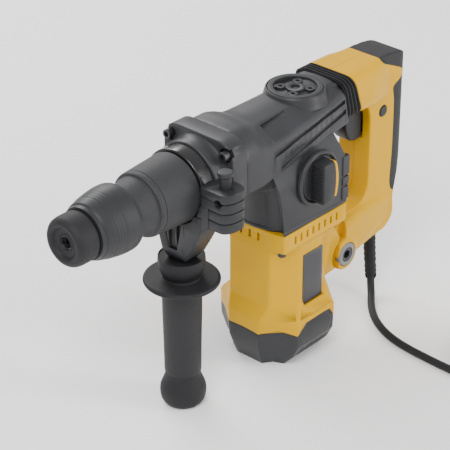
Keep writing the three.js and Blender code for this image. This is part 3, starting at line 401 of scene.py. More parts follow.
def finish_piece(obj, material, body, nodes=(), bevel=0.5, segments=3, angle=32.0):
    """Rounds the edges, shades the piece and ties it to its body and the CAD nodes that it stands for."""
    if bevel:
        modifier = obj.modifiers.new("edges", "BEVEL")
        modifier.width = bevel * MM
        modifier.segments = segments
        modifier.limit_method = "ANGLE"
        modifier.angle_limit = math.radians(angle)
        modifier.harden_normals = True
        modifier.use_clamp_overlap = True
        settle(obj)
    obj.data.shade_smooth()
    if not bevel:
        obj.data.set_sharp_from_angle(angle=math.radians(angle + 8))
    obj.data.materials.clear()
    obj.data.materials.append(material)
    if body:
        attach(obj, body)
    if nodes:
        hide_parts(*nodes)
    return obj


# ------------------------------------------------------------------ cord
CORD_D = 7.2
COIL = (122.0, -190.0)
COIL_MEAN, COIL_TURNS_WIDE, COIL_LAYERS = 43.2, 5, 2
FREE_ROUTE = [
    (126.6, -9.4, 19.2), (122.6, -13.2, 10.4), (115.5, -19.5, 5.4), (106, -27, 3.8), (95, -37, 3.7),
    (84, -50, 3.7), (75, -66, 3.7), (69, -84, 3.7), (66, -104, 3.7), (64.9, -124, 3.7), (64.4, -142, 3.7),
    (64.4, -160, 3.7), (64.4, -175, 3.7),
]
PLUG_TAIL = (COIL[0] + 12.0, COIL[1] - 81.0, 9.0)


def smooth_line(points, parts):
    """A Catmull-Rom line through the points."""
    line = [Vector(p) for p in points]
    line = [line[0] * 2 - line[1]] + line + [line[-1] * 2 - line[-2]]
    result = []
    for a, b, c, d in zip(line, line[1:], line[2:], line[3:]):
        result += interpolate_bezier(b, b + (c - a) / 6, c - (d - b) / 6, c, parts + 1)[:-1]
    result.append(line[-2])
    return result


def coil_line():
    """Turns inward on the floor, then outward on top of them, each turn a diameter from the next."""
    wide = COIL_TURNS_WIDE - 1
    outer = COIL_MEAN + wide * CORD_D / 2
    per_turn = 40
    per_layer = per_turn * COIL_TURNS_WIDE
    points = []
    for i in range(per_layer * COIL_LAYERS - per_turn // 8):
        angle = math.pi + TAU * i / per_turn
        layer, along = divmod(i, per_layer)
        step = along / (per_layer - 1)
        inward = step if layer == 0 else 1 - step
        radius = outer - inward * wide * CORD_D
        lift = ease((i - per_layer + per_turn / 4) / (per_turn / 2))
        points.append(Vector((COIL[0] + radius * math.cos(angle), COIL[1] + radius * math.sin(angle),
                              3.7 + lift * CORD_D)))
    return points


def cord_path():
    turns = coil_line()
    leaving = turns[-1]
    tail = [leaving, (COIL[0] - 27, COIL[1] - 66, 9.5), (COIL[0] - 12, COIL[1] - 78, 8.6), PLUG_TAIL]
    return smooth_line(FREE_ROUTE, 6)[:-1] + turns[:-1] + smooth_line([turns[-2]] + tail, 6)[6:]


def tube_rings(points, radii, sides):
    rings = []
    across = Vector((0, 1, 0))
    for i, centre in enumerate(points):
        tangent = (points[min(i + 1, len(points) - 1)] - points[max(i - 1, 0)]).normalized()
        across = (across - tangent * across.dot(tangent)).normalized()
        other = tangent.cross(across)
        radius = radii[i] if hasattr(radii, "__len__") else radii
        rings.append([tuple(centre + across * radius * math.cos(TAU * k / sides)
                            + other * radius * math.sin(TAU * k / sides)) for k in range(sides)])
    return rings


def make_cord(m):
    path = cord_path()
    cord = Shape().loft(tube_rings(path, CORD_D / 2, 14)).object("mains_cord")
    finish_piece(cord, m["rubber"], None, ("cord", "cord_coil"), bevel=0)
    plug = make_plug(m)
    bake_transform(cord)


def make_plug(m):
    low, high = box_mm("plug")
    x0, y = low[0], (low[1] + high[1]) / 2
    face = x0 + 40
    stations = [(0, 4.6, 4.6, 9), (5, 4.8, 4.8, 9), (6, 6.5, 6, 9.5), (12, 7.5, 6.8, 10),
            (18, 9.5, 8, 11), (26, 13, 10.5, 12),
                (33, 16.5, 12.6, 13), (39.5, 17, 12.9, 13), (40, 16, 12.2, 13)]
    body = Shape()
    body.loft([[(x0 + d, y + u, z + v) for u, v in rectangle(-w, w, -h, h, min(w, h) * 0.8, 6)]
               for d, w, h, z in stations])
    for side in (-1, 1):
        for i in range(4):
            d = x0 + 12 + i * 4
            body.block(d, d + 1.6, y + side * (8.0 + i * 1.9) - 1.4, y + side * (8.0 + i * 1.9) + 1.4, 7,
                    15)
    plug = finish_piece(body.object("plug_body"), m["rubber"], "tool", ("plug",), 0.5)
    pins = Shape()
    for side in (-1, 1):
        profile = soften([(face - 1, 0), (face - 1, 2.4), (high[0], 2.4), (high[0], 0)], 1.2)
        pins.lathe(profile, "x", (y + side * 9.5, 13.0), 32)
    finish_piece(pins.object("plug_pins"), m["steel"], "tool", bevel=0)
    return plug


# ------------------------------------------------------------------ chuck and barrel
def groove(x, radius, width=0.7, depth=0.55):
    return [(x - width / 2, radius), (x - width / 2, radius - depth), (x + width / 2, radius - depth),
            (x + width / 2, radius)]


def make_chuck(m):
    (front, _, _), (rear, _, _) = box_mm("dust_cap")
    outline = [(rear, 9.8), (rear, 18.6), (rear - 1.4, 21), (rear - 5, 21.6), (front + 8, 21.6),
            (front + 3.5, 20.9),
               (front + 0.8, 18.9), (front, 16.6), (front + 0.3, 14.6), (front + 1.8, 12.8), (front + 3.1,
                       12.2),
               (front + 3.3, 7.8), (front + 2.4, 7.2), (front + 2.4, 6.3), (front + 3.6,
                       5.8), (front + 4.2, 5.2),
               (front + 4.3, 5.2), (front + 4.3, 9.8)]
    cap = Shape().lathe(soften(outline, 1.1, 5)[:-1]).object("dust_cap_skin")
    finish_piece(cap, m["rubber"], "spindle", ("dust_cap",), bevel=0)

    (front, _, _), (rear, _, _) = box_mm("locking_sleeve")
    outer = [(rear, 24.1), (rear, 25.4), (rear - 1.2, 26.6), (rear - 2.2, 28.2), *groove(rear - 4.4, 28.9),
             (rear - 6, 29.2), (rear - 12, 29.3), (rear - 17, 28.8), *groove(rear - 20, 28.3, 1.0, 1.1),
             *groove(rear - 22.8, 27.9, 1.0, 1.1), *groove(rear - 25.6, 27.4, 1.0, 1.1),
             *groove(rear - 28.4, 26.9, 1.0, 1.1), (rear - 31, 26.2), (front + 4.6, 24.6), (front + 3.2,
                     23.2),
             (front, 22.6)]
    inner = [(front, 13.9), (rear - 17, 13.9), (rear - 17, 24.1)]
    sleeve = Shape().lathe(soften(outer, 0.35, 3) + inner).object("locking_sleeve_skin")
    finish_piece(sleeve, m["black"], "locking_sleeve", ("locking_sleeve",), bevel=0)


def make_barrel(m):
    (skirt, _, _), _ = box_mm("barrel_housing")
    (_, _, _), (sleeve_rear, _, _) = box_mm("locking_sleeve")
    neck, step, collar = sleeve_rear + 0.3, sleeve_rear + 21.6, sleeve_rear + 62.9
    outer = [(skirt, 19.3), (skirt, 21.9), (neck, 21.9), (neck, 23.5), (neck + 8.5, 23.6), (step - 4, 25.3),
             (step - 2.6, 25.6), (step - 2.2, 27.6), (step, 28.5), (step + 2.4, 28.6), *groove(step + 3.2,
                     28.6, 0.6, 0.5),
             (step + 8, 28.9), (collar - 12, 30.2), (collar - 1.4, 30.7), (collar - 0.3,
                     29.8), (collar - 0.3, 28.4),
             (collar + 14.6, 28.4), (collar + 14.6, 26)]
    inner = [(collar + 14.6, 20), (skirt + 20, 19.3)]
    barrel = Shape().lathe(soften(outer, 0.5, 4) + inner).object("barrel_skin")
    finish_piece(barrel, m["textured"], "tool", ("barrel_housing",), bevel=0)


def square_section(x, half, low, high, radius):
    return [(x, u, v) for u, v in rectangle(-half, half, low, high, radius, 10)]


def make_flange(m):
    (nose, _, _), _ = box_mm("front_flange")
    (cover_front, _, _), _ = box_mm("top_cover")
    profile = [(nose, 25), (nose, 33.1), (nose + 0.7, 33.9), (nose + 9, 34.4), (nose + 12, 35.4),
            (nose + 15, 37.2),
               (nose + 15, 25)]
    ring = Shape().lathe(soften(profile, 0.8, 4))
    finish_piece(ring.object("nose_ring"), m["case"], "tool", bevel=0)
    plate_front = nose + 13.6
    plate = Shape().loft([square_section(x, FLANGE_HALF - inset, FLANGE_LOW + inset, FLANGE_TOP - inset, 18)
                          for x, inset in ((plate_front, 0.8), (plate_front + 0.8, 0),
                                  (cover_front + 12, 0))])
    plate = plate.object("flange_block")
    carve(plate, Shape().rod(nose, 0, 26, sides=64))
    carve(plate, Shape().block(cover_front + 0.2, 0, -50, 50, 150, 202.3))
    screws = [f"flange_screw_{i}" for i in range(1, 5)]
    for name in screws:
        (x0, y0, z0), (_, y1, z1) = box_mm(name)
        centre = ((y0 + y1) / 2, (z0 + z1) / 2)
        carve(plate, Shape().rod(x0 - 1, x0 + 8.2, 6.6, "x", centre, 40))
    finish_piece(plate, m["case"], "tool", ("front_flange",), 0.7)
    for name in screws:
        (x0, y0, z0), (x1, y1, z1) = box_mm(name)
        centre = ((y0 + y1) / 2, (z0 + z1) / 2)
        head = [(x0, 0), (x0, 4.2), (x0 + 6, 4.2), (x0 + 6, 2.5), (x1, 2.5), (x1, 0)]
        screw = Shape().lathe(soften(head, 0.5), "x", centre, 40).object(name + "_skin")
        hexagon = circle(*centre, 2.5, 6)
        carve(screw, Shape().prism(hexagon, "x", x0 - 1, x0 + 3))
        finish_piece(screw, m["screw"], "tool", (name,), 0)


# ------------------------------------------------------------------ gear casing
def cover_low(x):
    """The cover's lower edge rises towards the handle."""
    return mix(202.3, 211.5, min(1.0, max(0.0, (x + 70) / 130)))


def cover_section(x, width, shoulder, crease, crease_z, top, radius, low=None):
    low = cover_low(x) if low is None else low
    corners = [(-width, low), (width, low), (width, shoulder), (crease, crease_z), (0, top),
            (-crease, crease_z),
               (-width, shoulder)]
    radii = [1.2, 1.2, radius, radius * 0.6, 8, radius * 0.6, radius]
    return [(x, u, v) for u, v in rounded(corners, radii, 6)]


def make_cover(m):
    _, (rear, _, _) = box_mm("top_cover")
    start = box_mm("top_cover")[0][0] + 12.3
    stations = [
        (start, 38.5, 240, 24, 253.6, 254.5, 14), (start + 18, 38.5, 240, 24, 253.6, 254.5, 14),
        (start + 24, 38.2, 238, 22, 252.0, 253.6, 10), (start + 32, 37.4, 235, 19, 248.8, 250.6, 5),
        (start + 40, 36.8, 234.5, 18, 248.0, 249.8, 3.5), (start + 80, 33.4, 236.5, 16.5, 248.0, 249.6,
                3.5),
        (start + 120, 30.4, 239, 16.5, 249.0, 250.6, 4), (rear - 6, 29.2, 241, 17, 250.2, 251.6, 5),
        (rear - 0.6, 28.9, 242, 17, 250.8, 252.2, 6), (rear, 28.3, 241.5, 16.6, 250.2, 251.6, 6),
    ]
    rings = []
    for a, b in zip(stations, stations[1:]):
        parts = max(1, int((b[0] - a[0]) / 4))
        rings += [cover_section(*(mix(p, q, ease(k / parts) if p != a[0] else k / parts) for p,
                q in zip(a, b)))
                  for k in range(parts)]
    rings.append(cover_section(*stations[-1]))
    rings = [[(x - 9.0 * lean(z) * ease((x - rear + 40) / 40), y, z) for x, y, z in ring] for ring in rings]
    cover = Shape().loft(rings).object("cover_skin")
    hollow = [cover_section(x, width - 4, shoulder - 3.5, crease - 1, crease_z - 4, top - 4, 4, low=190)
              for x, width, shoulder, crease, crease_z, top, _ in (stations[0], *stations[2:8])]
    hollow[0] = [(x - 1, y, z) for x, y, z in hollow[0]]
    carve(cover, Shape().loft(hollow))
    for side in (-1, 1):
        for x0, z0, x1, z1, high in ((start + 32, 223.5, rear - 7, 234.5, 2.1),
                (start + 40, 210.5, rear - 5, 224.5, 2.4)):
            w0, w1 = 37.6, 29.2
            tool = [[(x, side * (w + d), z + h) for d,
                    h in ((-t, -high), (3, -high), (3, high), (-t, high))]
                    for x, w, z, t in ((x0, w0 + 0.6, z0, 0.0), (x0 + 12, w0 - 1.1, z0 + 1, 2.0),
                            (x1, w1, z1, 2.4))]
            carve(cover, Shape().loft(tool))
        rings = []
        for x, t in ((start + 36.5, 2.2), (start + 70, 0.6)):
            edge, crease = mix(36.6, 33.6, t < 1), mix(18.5, 17, t < 1)
            low_z, high_z = mix(237.0, 239.5, t < 1), mix(247.4, 247.8, t < 1)
            lift = 4
            rings.append([(x, side * edge, low_z - t), (x, side * crease, high_z - t),
                          (x, side * (crease + lift), high_z + lift), (x, side * (edge + lift),
                                  low_z + lift)])
        carve(cover, Shape().loft(rings))
    finish_piece(cover, m["case"], "tool", ("top_cover",), 0.6)

    (x0, _, z0), (x1, _, z1) = box_mm("grease_cap")
    z0, z1 = z0 + 1.6, z1 + 1.6
    centre = ((x0 + x1) / 2, 0.0)
    collar = soften([(z0 - 4, 20), (z0 - 4, 30), (z0 - 0.5, 28.4), (z1 - 1.6, 26.6), (z1 - 0.6, 25.8),
            (z1 - 0.6, 25),
                     (z0 - 4, 25)], 0.8)
    seat = Shape().lathe(collar, "z", centre)
    bump = soften([(z0 - 6, 0), (z0 - 6, 7), (z1 - 4, 5.4), (z1 - 2.6, 4), (z1 - 2.4, 0)], 1.5)
    seat.lathe(bump, "z", (centre[0] + 31.5, -15.5), 48)
    finish_piece(seat.object("grease_cap_seat"), m["case"], "tool", bevel=0)
    make_grease_cap(m, centre, z0, z1)


def make_grease_cap(m, centre, low, high):
    disc = Shape().lathe(soften([(low, 0), (low, 24.7), (high - 1.2, 24.7), (high, 23.9), (high, 19.6),
            (high - 0.5, 19.2),
                                 (high - 5, 19), (high - 5, 0)], 0.5), "z", centre)
    finish_piece(disc.object("grease_cap_disc"), m["black"], "tool", ("grease_cap",), 0)
    hexagon = [(centre[0] + 4.7 * math.cos(TAU * i / 6),
            centre[1] + 4.7 * math.sin(TAU * i / 6)) for i in range(6)]
    web = Shape().rod(high - 5, high - 1, 8.4, "z", centre, 48)
    web = carve(web.object("grease_cap_web"), Shape().prism(hexagon, "z", high - 6, high + 1))
    for i in range(4):
        angle = TAU * (i + 0.35) / 4
        across = Vector((math.cos(angle), math.sin(angle)))
        spot = Vector(centre) + across * 13
        lug = Shape().rod(high - 5, high - 1.2, 4.3, "z", tuple(spot), 32)
        carve(web, lug, "UNION")
        side = Vector((-across.y, across.x)) * 2.4
        ends = [Vector(centre) + across * d for d in (7, 19.3)]
        arm = [tuple(ends[0] - side), tuple(ends[1] - side), tuple(ends[1] + side), tuple(ends[0] + side)]
        carve(web, Shape().prism(arm, "z", high - 5, high - 1.6), "UNION")
    for i in range(4):
        angle = TAU * (i + 0.35) / 4
        spot = Vector(centre) + Vector((math.cos(angle), math.sin(angle))) * 13
        carve(web, Shape().rod(high - 6, high, 2, "z", tuple(spot), 24))
    finish_piece(web, m["black"], "tool", (), 0.25)


CASE_LOW = 140.6


def case_section(z):
    t = max(0.0, z - CASE_LOW) / 61.5
    front = mix(-38.0, -49.5, min(1.0, t) ** 1.6)
    slope = max(0.0, z - 188) / 22
    rear = 51.0 - 3.5 * t - 8 * slope
    half = 37.5 - 6.5 * slope
    corners = [(front + 1.0, -half), (rear - 1.5, -half), (rear, 7 - half), (rear, half - 7),
            (rear - 1.5, half),
               (front + 1.0, half), (front + 7.5, half - 6), (front + 1.5, half - 15), (front - 3.5, 0),
               (front + 1.5, 15 - half), (front + 7.5, 6 - half)]
    return [(u, v, z) for u, v in rounded(corners, [1.6, 3, 4, 4, 3, 1.6, 4, 8, 24, 8, 4], 6)]


def make_gear_case(m):
    low, _ = box_mm("gear_case")
    heights = [CASE_LOW + 70.4 * i / 20 for i in range(21)]
    case = Shape().loft([case_section(z) for z in heights]).object("gear_case_skin")
    arc = [math.pi + math.radians(21 + i * 138 / 24) for i in range(25)]
    half = [(35.5 * math.cos(a), AXIS_Z + 35.5 * math.sin(a)) for a in arc]
    neck = []
    for x, grow in ((low[0] + 0.2, 0), (-62, 0), (-54, 0.6), (-48, 2.2), (-43, 5), (-40, 9)):
        neck.append([(x, u * (1 - grow * 0.002), v - grow) for u, v in half])
    carve(case, Shape().loft(neck), "UNION")
    inside = Shape().loft([rectangle_ring(z, -29 - d, 43, -32, 32, 5) for z, d in ((146, 0), (197, 8))])
    carve(case, inside)
    carve(case, Shape().rod(-120, -30, 25, sides=48))
    carve(case, Shape().block(-45, 37, -25, 25, 190, 220))
    carve(case, Shape().rod(130, 150, 8, "z", (0, 0), 32))
    (kx0, _, kz0), (kx1, _, kz1) = box_mm("knob_ring")
    knob = ((kx0 + kx1) / 2, (kz0 + kz1) / 2)
    carve(case, Shape().rod(-60, -30, 6.4, "y", knob, 32))
    finish_piece(case, m["case"], "tool", ("gear_case",), 0.9)
    trim = Shape()
    for side in (-1, 1):
        for low_z, high_z in ((144.5, 157), (158.2, 167), (168.4, 187.5)):
            trim.loft([[(x, side * v, w) for x, w in rectangle(41.5 + d, 50.6 - d, low_z + d, high_z - d,
                    1.2)]
                       for v, d in ((34, 0), (38.0, 0), (38.5, 0.6))])
    finish_piece(trim.object("case_ribs"), m["case"], "tool", (), 0.3)
    border = Shape().loft([case_ring(CASE_LOW, 0.3), case_ring(CASE_LOW + 0.7, 0.8),
            case_ring(CASE_LOW + 2.6, 0.8), case_ring(CASE_LOW + 3.6, 0.1)])
    border = carve(border.object("case_border"),
            Shape().loft([case_ring(CASE_LOW - 3, -3), case_ring(CASE_LOW + 8, -3)]))
    finish_piece(border, m["case"], "tool", (), 0)


def rectangle_ring(z, x0, x1, y0, y1, radius):
    return [(u, v, z) for u, v in rectangle(x0, x1, y0, y1, radius)]


def case_ring(z, grow):
    base = case_section(max(z, CASE_LOW))
    centre = Vector((5, 0))
    ring = []
    for x, y, _ in base:
        spoke = Vector((x, y)) - centre
        ring.append((*(centre + spoke * (1 + grow / spoke.length)), z))
    return ring


# ------------------------------------------------------------------ motor casing
def octagon(half_x, half_y, flat_x, flat_y):
    quarter = [(half_x, -flat_y), (half_x, flat_y), (flat_x, half_y), (-flat_x, half_y)]
    return quarter + [(-x, -y) for x, y in quarter]


def edge_point(corners, share, index, steps):
    """Points along each side of a polygon, with the share of the way from corner to corner."""
    a, b = Vector(corners[index]), Vector(corners[(index + 1) % len(corners)])
    return a.lerp(b, share / steps)


RIM_STEPS = 8


def rim_height(corner, share):
    """The seam of casing and tail cap: low at the corners, a step on the sides, a peak on the chamfers."""
    rise = 1 - abs(2 * share / RIM_STEPS - 1)
    if corner in (2, 6):
        return 36.8 + 9.6 * min(1.0, rise * 4)
    if corner in (0, 4):
        return 37.2 + 0.8 * rise
    return 36.8 + 5.0 * rise


def chamfer_dip(corner, share, depth):
    """How far the middle of a chamfer is pressed in, as a factor on its distance from the axis."""
    return 1 - depth * (1 - abs(2 * share / RIM_STEPS - 1)) if corner % 2 else 1.0


def rim_ring(half, flat_x, flat_y, lift, depth=0.0):
    corners = octagon(half, half, flat_x, flat_y)
    ring = []
    for i in range(8):
        for k in range(RIM_STEPS):
            x, y = edge_point(corners, k, i, RIM_STEPS) * chamfer_dip(i, k, depth)
            ring.append((x, y, lift(i, k)))
    return ring[-RIM_STEPS // 2:] + ring[:-RIM_STEPS // 2]


def body_ring(z, half_x, half_y, shift, flat_x, flat_y, radius):
    """A casing section with as many points as the rim, so that the two join."""
    outline = rounded(octagon(half_x, half_y, flat_x, flat_y), radius, RIM_STEPS - 1)
    return [(x + shift, y, z) for x, y in outline]


def pivot_place():
    low, high = box_mm("pivot_bolt")
    return (low[0] + high[0]) / 2, (low[2] + high[2]) / 2


def web_outline(grow):
    """The side wall between the motor casing and the handle's pivot, seen from the side."""
    return [(30, 62.5 - grow), (55 + grow, 63.5 - grow), (53 + grow, 78), (58.5 + grow, 94),
            (48.5 + grow, 110.5),
            (46 + grow, 122), (30, 122)]


def make_motor(m):
    half = box_mm("tail_cap")[1][0]
    rim = rim_ring(half, TAIL_FLAT_X, TAIL_FLAT_Y, rim_height)
    upper = rim_ring(half, TAIL_FLAT_X, TAIL_FLAT_Y, lambda i, k: 49.5)
    rings = [rim, upper, body_ring(52, half - 0.3, half - 0.3, 0, 24, 18, 2.5),
             body_ring(61.5, 40.6, 38.4, 0.4, 15.4, 22, 2.5), body_ring(63, 39.8, 37.3, 0.4, 14, 22.6, 2.5),
             body_ring(66, 39.6, 37, 0.5, 13.6, 23, 2.5), body_ring(90, 39.6, 37, 0.5, 13.6, 23, 2.5),
             body_ring(119, 39.6, 37, 0.5, 13.6, 23, 2.5), body_ring(120.6, 40.4, 37.4, 1.2, 15, 23.6, 2.5),
             body_ring(122.6, 44.0, 38.3, 5.4, 41, 28, 2.5), body_ring(124, 44.6, 38.6, 6.0, 42.6, 28.6,
                     2.5),
             body_ring(CASE_LOW - 1.2, 44.6, 38.6, 6.0, 42.6, 28.6, 2.5), body_ring(CASE_LOW - 0.4, 44.0,
                     38.0, 6.0, 42, 28, 2.5)]
    shell = Shape().loft(rings).object("motor_skin")
    inner = Shape().loft([body_ring(z, 37.0, 34.4, 0.5, 14.6, 10.6, 18) for z in (30, 128)])
    carve(shell, inner)
    carve(shell, Shape().loft([[(x, y, z) for x, y in rectangle(-33, 44, -34.0, 34.0, 9)] for z in (127,
            150)]))
    slots = Shape()
    for i in range(8):
        x = -21.8 + i * 8
        for side in (-1, 1):
            slots.prism(rectangle(x - VENT_HALF, x + VENT_HALF, VENT_LOW, VENT_HIGH, 1.2), "y",
                    side * 30 if side > 0 else -45,
                        45 if side > 0 else -30)
    for y in (-10, 0, 10):
        slots.prism(rectangle(y - VENT_HALF, y + VENT_HALF, VENT_LOW, VENT_HIGH, 1.2), "x", -46, -30)
    carve(shell, slots)
    (x0, y0, z0), (x1, y1, z1) = box_mm("label_plate")
    carve(shell, Shape().prism(rectangle(x0 - 0.4, x1 + 0.4, z0 - 0.4, z1 + 0.4, 1.4), "y", -40, -36.35))
    pivot = pivot_place()
    web = Shape().prism(rounded(web_outline(0), 1.5), "y", -24, 24).object("web")
    carve(web, Shape().rod(-30, 30, 17.2, "y", pivot, 64))
    carve(web, Shape().rod(60, 125, 35, "z", (0, 0), 48))
    combine(shell, web, "UNION")
    lug = [(30, pivot[1] - 12), (pivot[0], pivot[1] - 12), (pivot[0] + 10, pivot[1]),
            (pivot[0] + 3, pivot[1] + 12),
           (38, pivot[1] + 27), (30, pivot[1] + 27)]
    carve(shell, Shape().prism(rounded(lug, [1, 9, 9, 4, 4, 1]), "y", -13, 13), "UNION")
    carve(shell, Shape().prism(circle(*pivot, 5.4), "y", -20, 20))
    finish_piece(shell, m["yellow"], "tool", ("motor_housing",), 0.5)
    plate = Shape().loft([[(u, y, v) for u, v in rectangle(x0 + d, x1 - d, z0 + d, z1 - d, 1.2)]
                          for y, d in ((y1, 0), (y0 + 0.15, 0), (y0, 0.15))])
    plate.prism(rectangle(x0 + 2.0, x1 - 2.0, z0 + 2.0, z1 - 2.0, 0.8), "y", y0 - 0.06, y0 + 0.05)
    finish_piece(plate.object("label_plate_skin"), m["label"], "tool", ("label_plate",), 0)
    head = soften([(118.4, 0), (118.4, 3.0), (119.2, 3.9), (124, 3.9), (124, 0)], 0.5)
    screw = Shape().lathe(head, "z", (-33.4, -33.0), 40)
    screw = carve(screw.object("collar_screw"), Shape().block(-38, -29, -33.6, -32.4, 118, 119.6))
    finish_piece(screw, m["screw"], "tool", (), 0)
    make_tail(m, half)


def make_tail(m, half):
    gap = 0.5
    top = rim_ring(half - 0.3, TAIL_FLAT_X, TAIL_FLAT_Y, lambda i, k: rim_height(i, k) - gap)
    belt = rim_ring(half - 0.3, TAIL_FLAT_X, TAIL_FLAT_Y, lambda i, k: 33.0, 0.02)
    waist = rim_ring(half - 0.3, 24.4, 16.8, lambda i, k: 24.0, 0.05)
    rings = []
    for corners, z in ((octagon(36.6, 29.4, 24.0, 14.2), 0.02), (octagon(37.4, 30.2, 24.4, 14.6), 0.9),
                       (octagon(half - 4.5, half - 6.5, 24, 15.5), 11.0)):
        loop = [(*edge_point(corners, k, i, RIM_STEPS) * chamfer_dip(i, k, 0.07), z)
                for i in range(8) for k in range(RIM_STEPS)]
        rings.append(loop[-RIM_STEPS // 2:] + loop[:-RIM_STEPS // 2])
    tail = Shape().loft([*rings, waist, belt, top]).object("tail_cap_skin")
    hollow = Shape().loft([[(x, y, z) for x, y in octagon(a, b, 19, 13)] for z, a, b in
                           ((3.5, 32, 25), (12, 37, 35), (26, 41.5, 41.5), (60, 41.5, 41.5))])
    carve(tail, hollow)
    slots = Shape()
    for i in range(6):
        for side in (-1, 1):
            x = -16.5 + i * 6.6
            slant = [(x - 4.6, 7.5), (x - 2.0, 7.5), (x + 4.6, 18.5), (x + 2.0, 18.5)]
            slots.prism(rounded(slant, 1.0), "y", side * 28 if side > 0 else -50, 50 if side > 0 else -28)
    carve(tail, slots)
    finish_piece(tail, m["case"], "tool", ("tail_cap",), 0.9, angle=18)
    facets = Shape()
    for side in (-1, 1):
        face = [(-19, 24.8), (19, 24.8), (22.5, 35), (14.5, 45.4), (-14.5, 45.4), (-22.5, 35)]
        inner = [(u * 0.94, 35 + (v - 35) * 0.93) for u, v in face]
        facets.loft([[place("y", side * d, u, v) for u, v in ring]
                     for d, ring in ((half - 1.5, face), (half - 0.25, face), (half - 0.02, inner))])
    finish_piece(facets.object("tail_facets"), m["case"], "tool", (), 0.3)


# ------------------------------------------------------------------ mode knob
def make_knob(m):
    (x0, y0, z0), (x1, y1, z1) = box_mm("knob_ring")
    centre = ((x0 + x1) / 2, (z0 + z1) / 2)
    outer = (x1 - x0) / 2
    profile = [(y1, outer), (y0 + 1.6, outer), (y0 + 0.3, outer - 1.4), (y0, outer - 2.2),
            (y0 + 0.5, outer - 3.2),
               (y0 + 0.9, 22.4), (y1, 22.4)]
    ring = Shape().lathe(soften(profile, 0.6), "y", centre)
    finish_piece(ring.object("knob_ring_skin"), m["case"], "tool", ("knob_ring",), 0)
    (_, face, _), (_, back, _) = box_mm("mode_knob")
    base = y1 - 2.6
    dial = Shape().lathe(soften([(y1, 0), (y1, 21), (base + 0.8, 21), (base, 20.2), (base, 0)], 0.5), "y",
            centre)
    dial.rod(y1, back, 5.9, "y", centre, 32)
    cheek = soften([(-9.0, -19), (-9.4, 0), (-9.0, 19)], 8, 8)
    bow = [(3 + 6.2 * math.cos(a),
            20.4 * math.sin(a)) for a in (math.radians(78 - 156 * i / 16) for i in range(17))]
    outline = [(centre[0] + u, centre[1] + v) for u, v in cheek + bow]
    middle = Vector(centre)

    def shrunk(share):
        return [tuple(middle + (Vector(p) - middle) * share) for p in outline]

    dial.loft([[(u, y, v) for u, v in shrunk(s)] for y, s in
               ((base + 1, 1.0), (face + 1.4, 0.985), (face + 0.4, 0.96), (face, 0.91))])
    for i in range(15):
        z = centre[1] - 16.1 + i * 2.3
        dial.block(centre[0] - 9.9, centre[0] - 7.6, face + 0.9, base, z - 0.55, z + 0.55)
    finish_piece(dial.object("mode_knob_skin"), m["black"], "mode_knob", ("mode_knob",), 0.3)
    arc = [math.radians(70 - 118 * i / 24) for i in range(25)]
    outside = [(3 + 7.0 * math.cos(a), 20.7 * math.sin(a)) for a in arc]
    inside = [(1.6 + 5.2 * math.cos(a), 20.5 * math.sin(a)) for a in reversed(arc)]
    stripe = [(centre[0] + u, centre[1] + v) for u, v in outside + inside]
    pointer = Shape().prism(stripe, "y", face - 0.12, face + 6)
    finish_piece(pointer.object("knob_pointer_skin"), m["yellow"], "mode_knob", ("knob_pointer",), 0.2)


# ------------------------------------------------------------------ side handle
def make_side_handle(m):
    (gx0, _, _), (gx1, _, top) = box_mm("side_grip")
    x = (gx0 + gx1) / 2
    profile = [(0.02, 0), (0.02, 13.5), (1.6, 17.2), (6, 19.6), (12, 20.4), (17, 20.0), (22, 18.0),
            (27, 16.0), (31, 15.4),
               (60, 15.8), (92, 16.6), (117.5, 16.6), (119.5, 17.6), (121, 22), (122, 30), (123,
                       32.6), (124.6, 33.4),
               (126.3, 32.8), (127.2, 31.2), (127.6, 16.4), (130, 16.2), (133, 18.2), (138,
                       20.0), (BALL_Z, BALL_R),
               (148, 20.0), (top, math.sqrt(BALL_R ** 2 - (top - BALL_Z) ** 2)), (top, 0)]
    grip = Shape().lathe(soften(profile, 2.0, 5), "z", (x, 0.0))
    grip = carve(grip.object("side_grip_skin"), Shape().rod(61, 160, 4.6, "z", (x, 0), 32))
    finish_piece(grip, m["rubber"], "side_grip", ("side_grip",), 0)
    sleeve = Shape().lathe(soften([(33, 15.0), (33, 15.9), (34, 16.1), (60, 16.4), (92, 17.1),
            (113, 17.3), (114, 17.0),
                                   (114, 15.0)], 0.5), "z", (x, 0.0))
    finish_piece(sleeve.object("side_grip_pad"), m["grip"], "side_grip", (), 0)
    make_clamp(m, x, top)


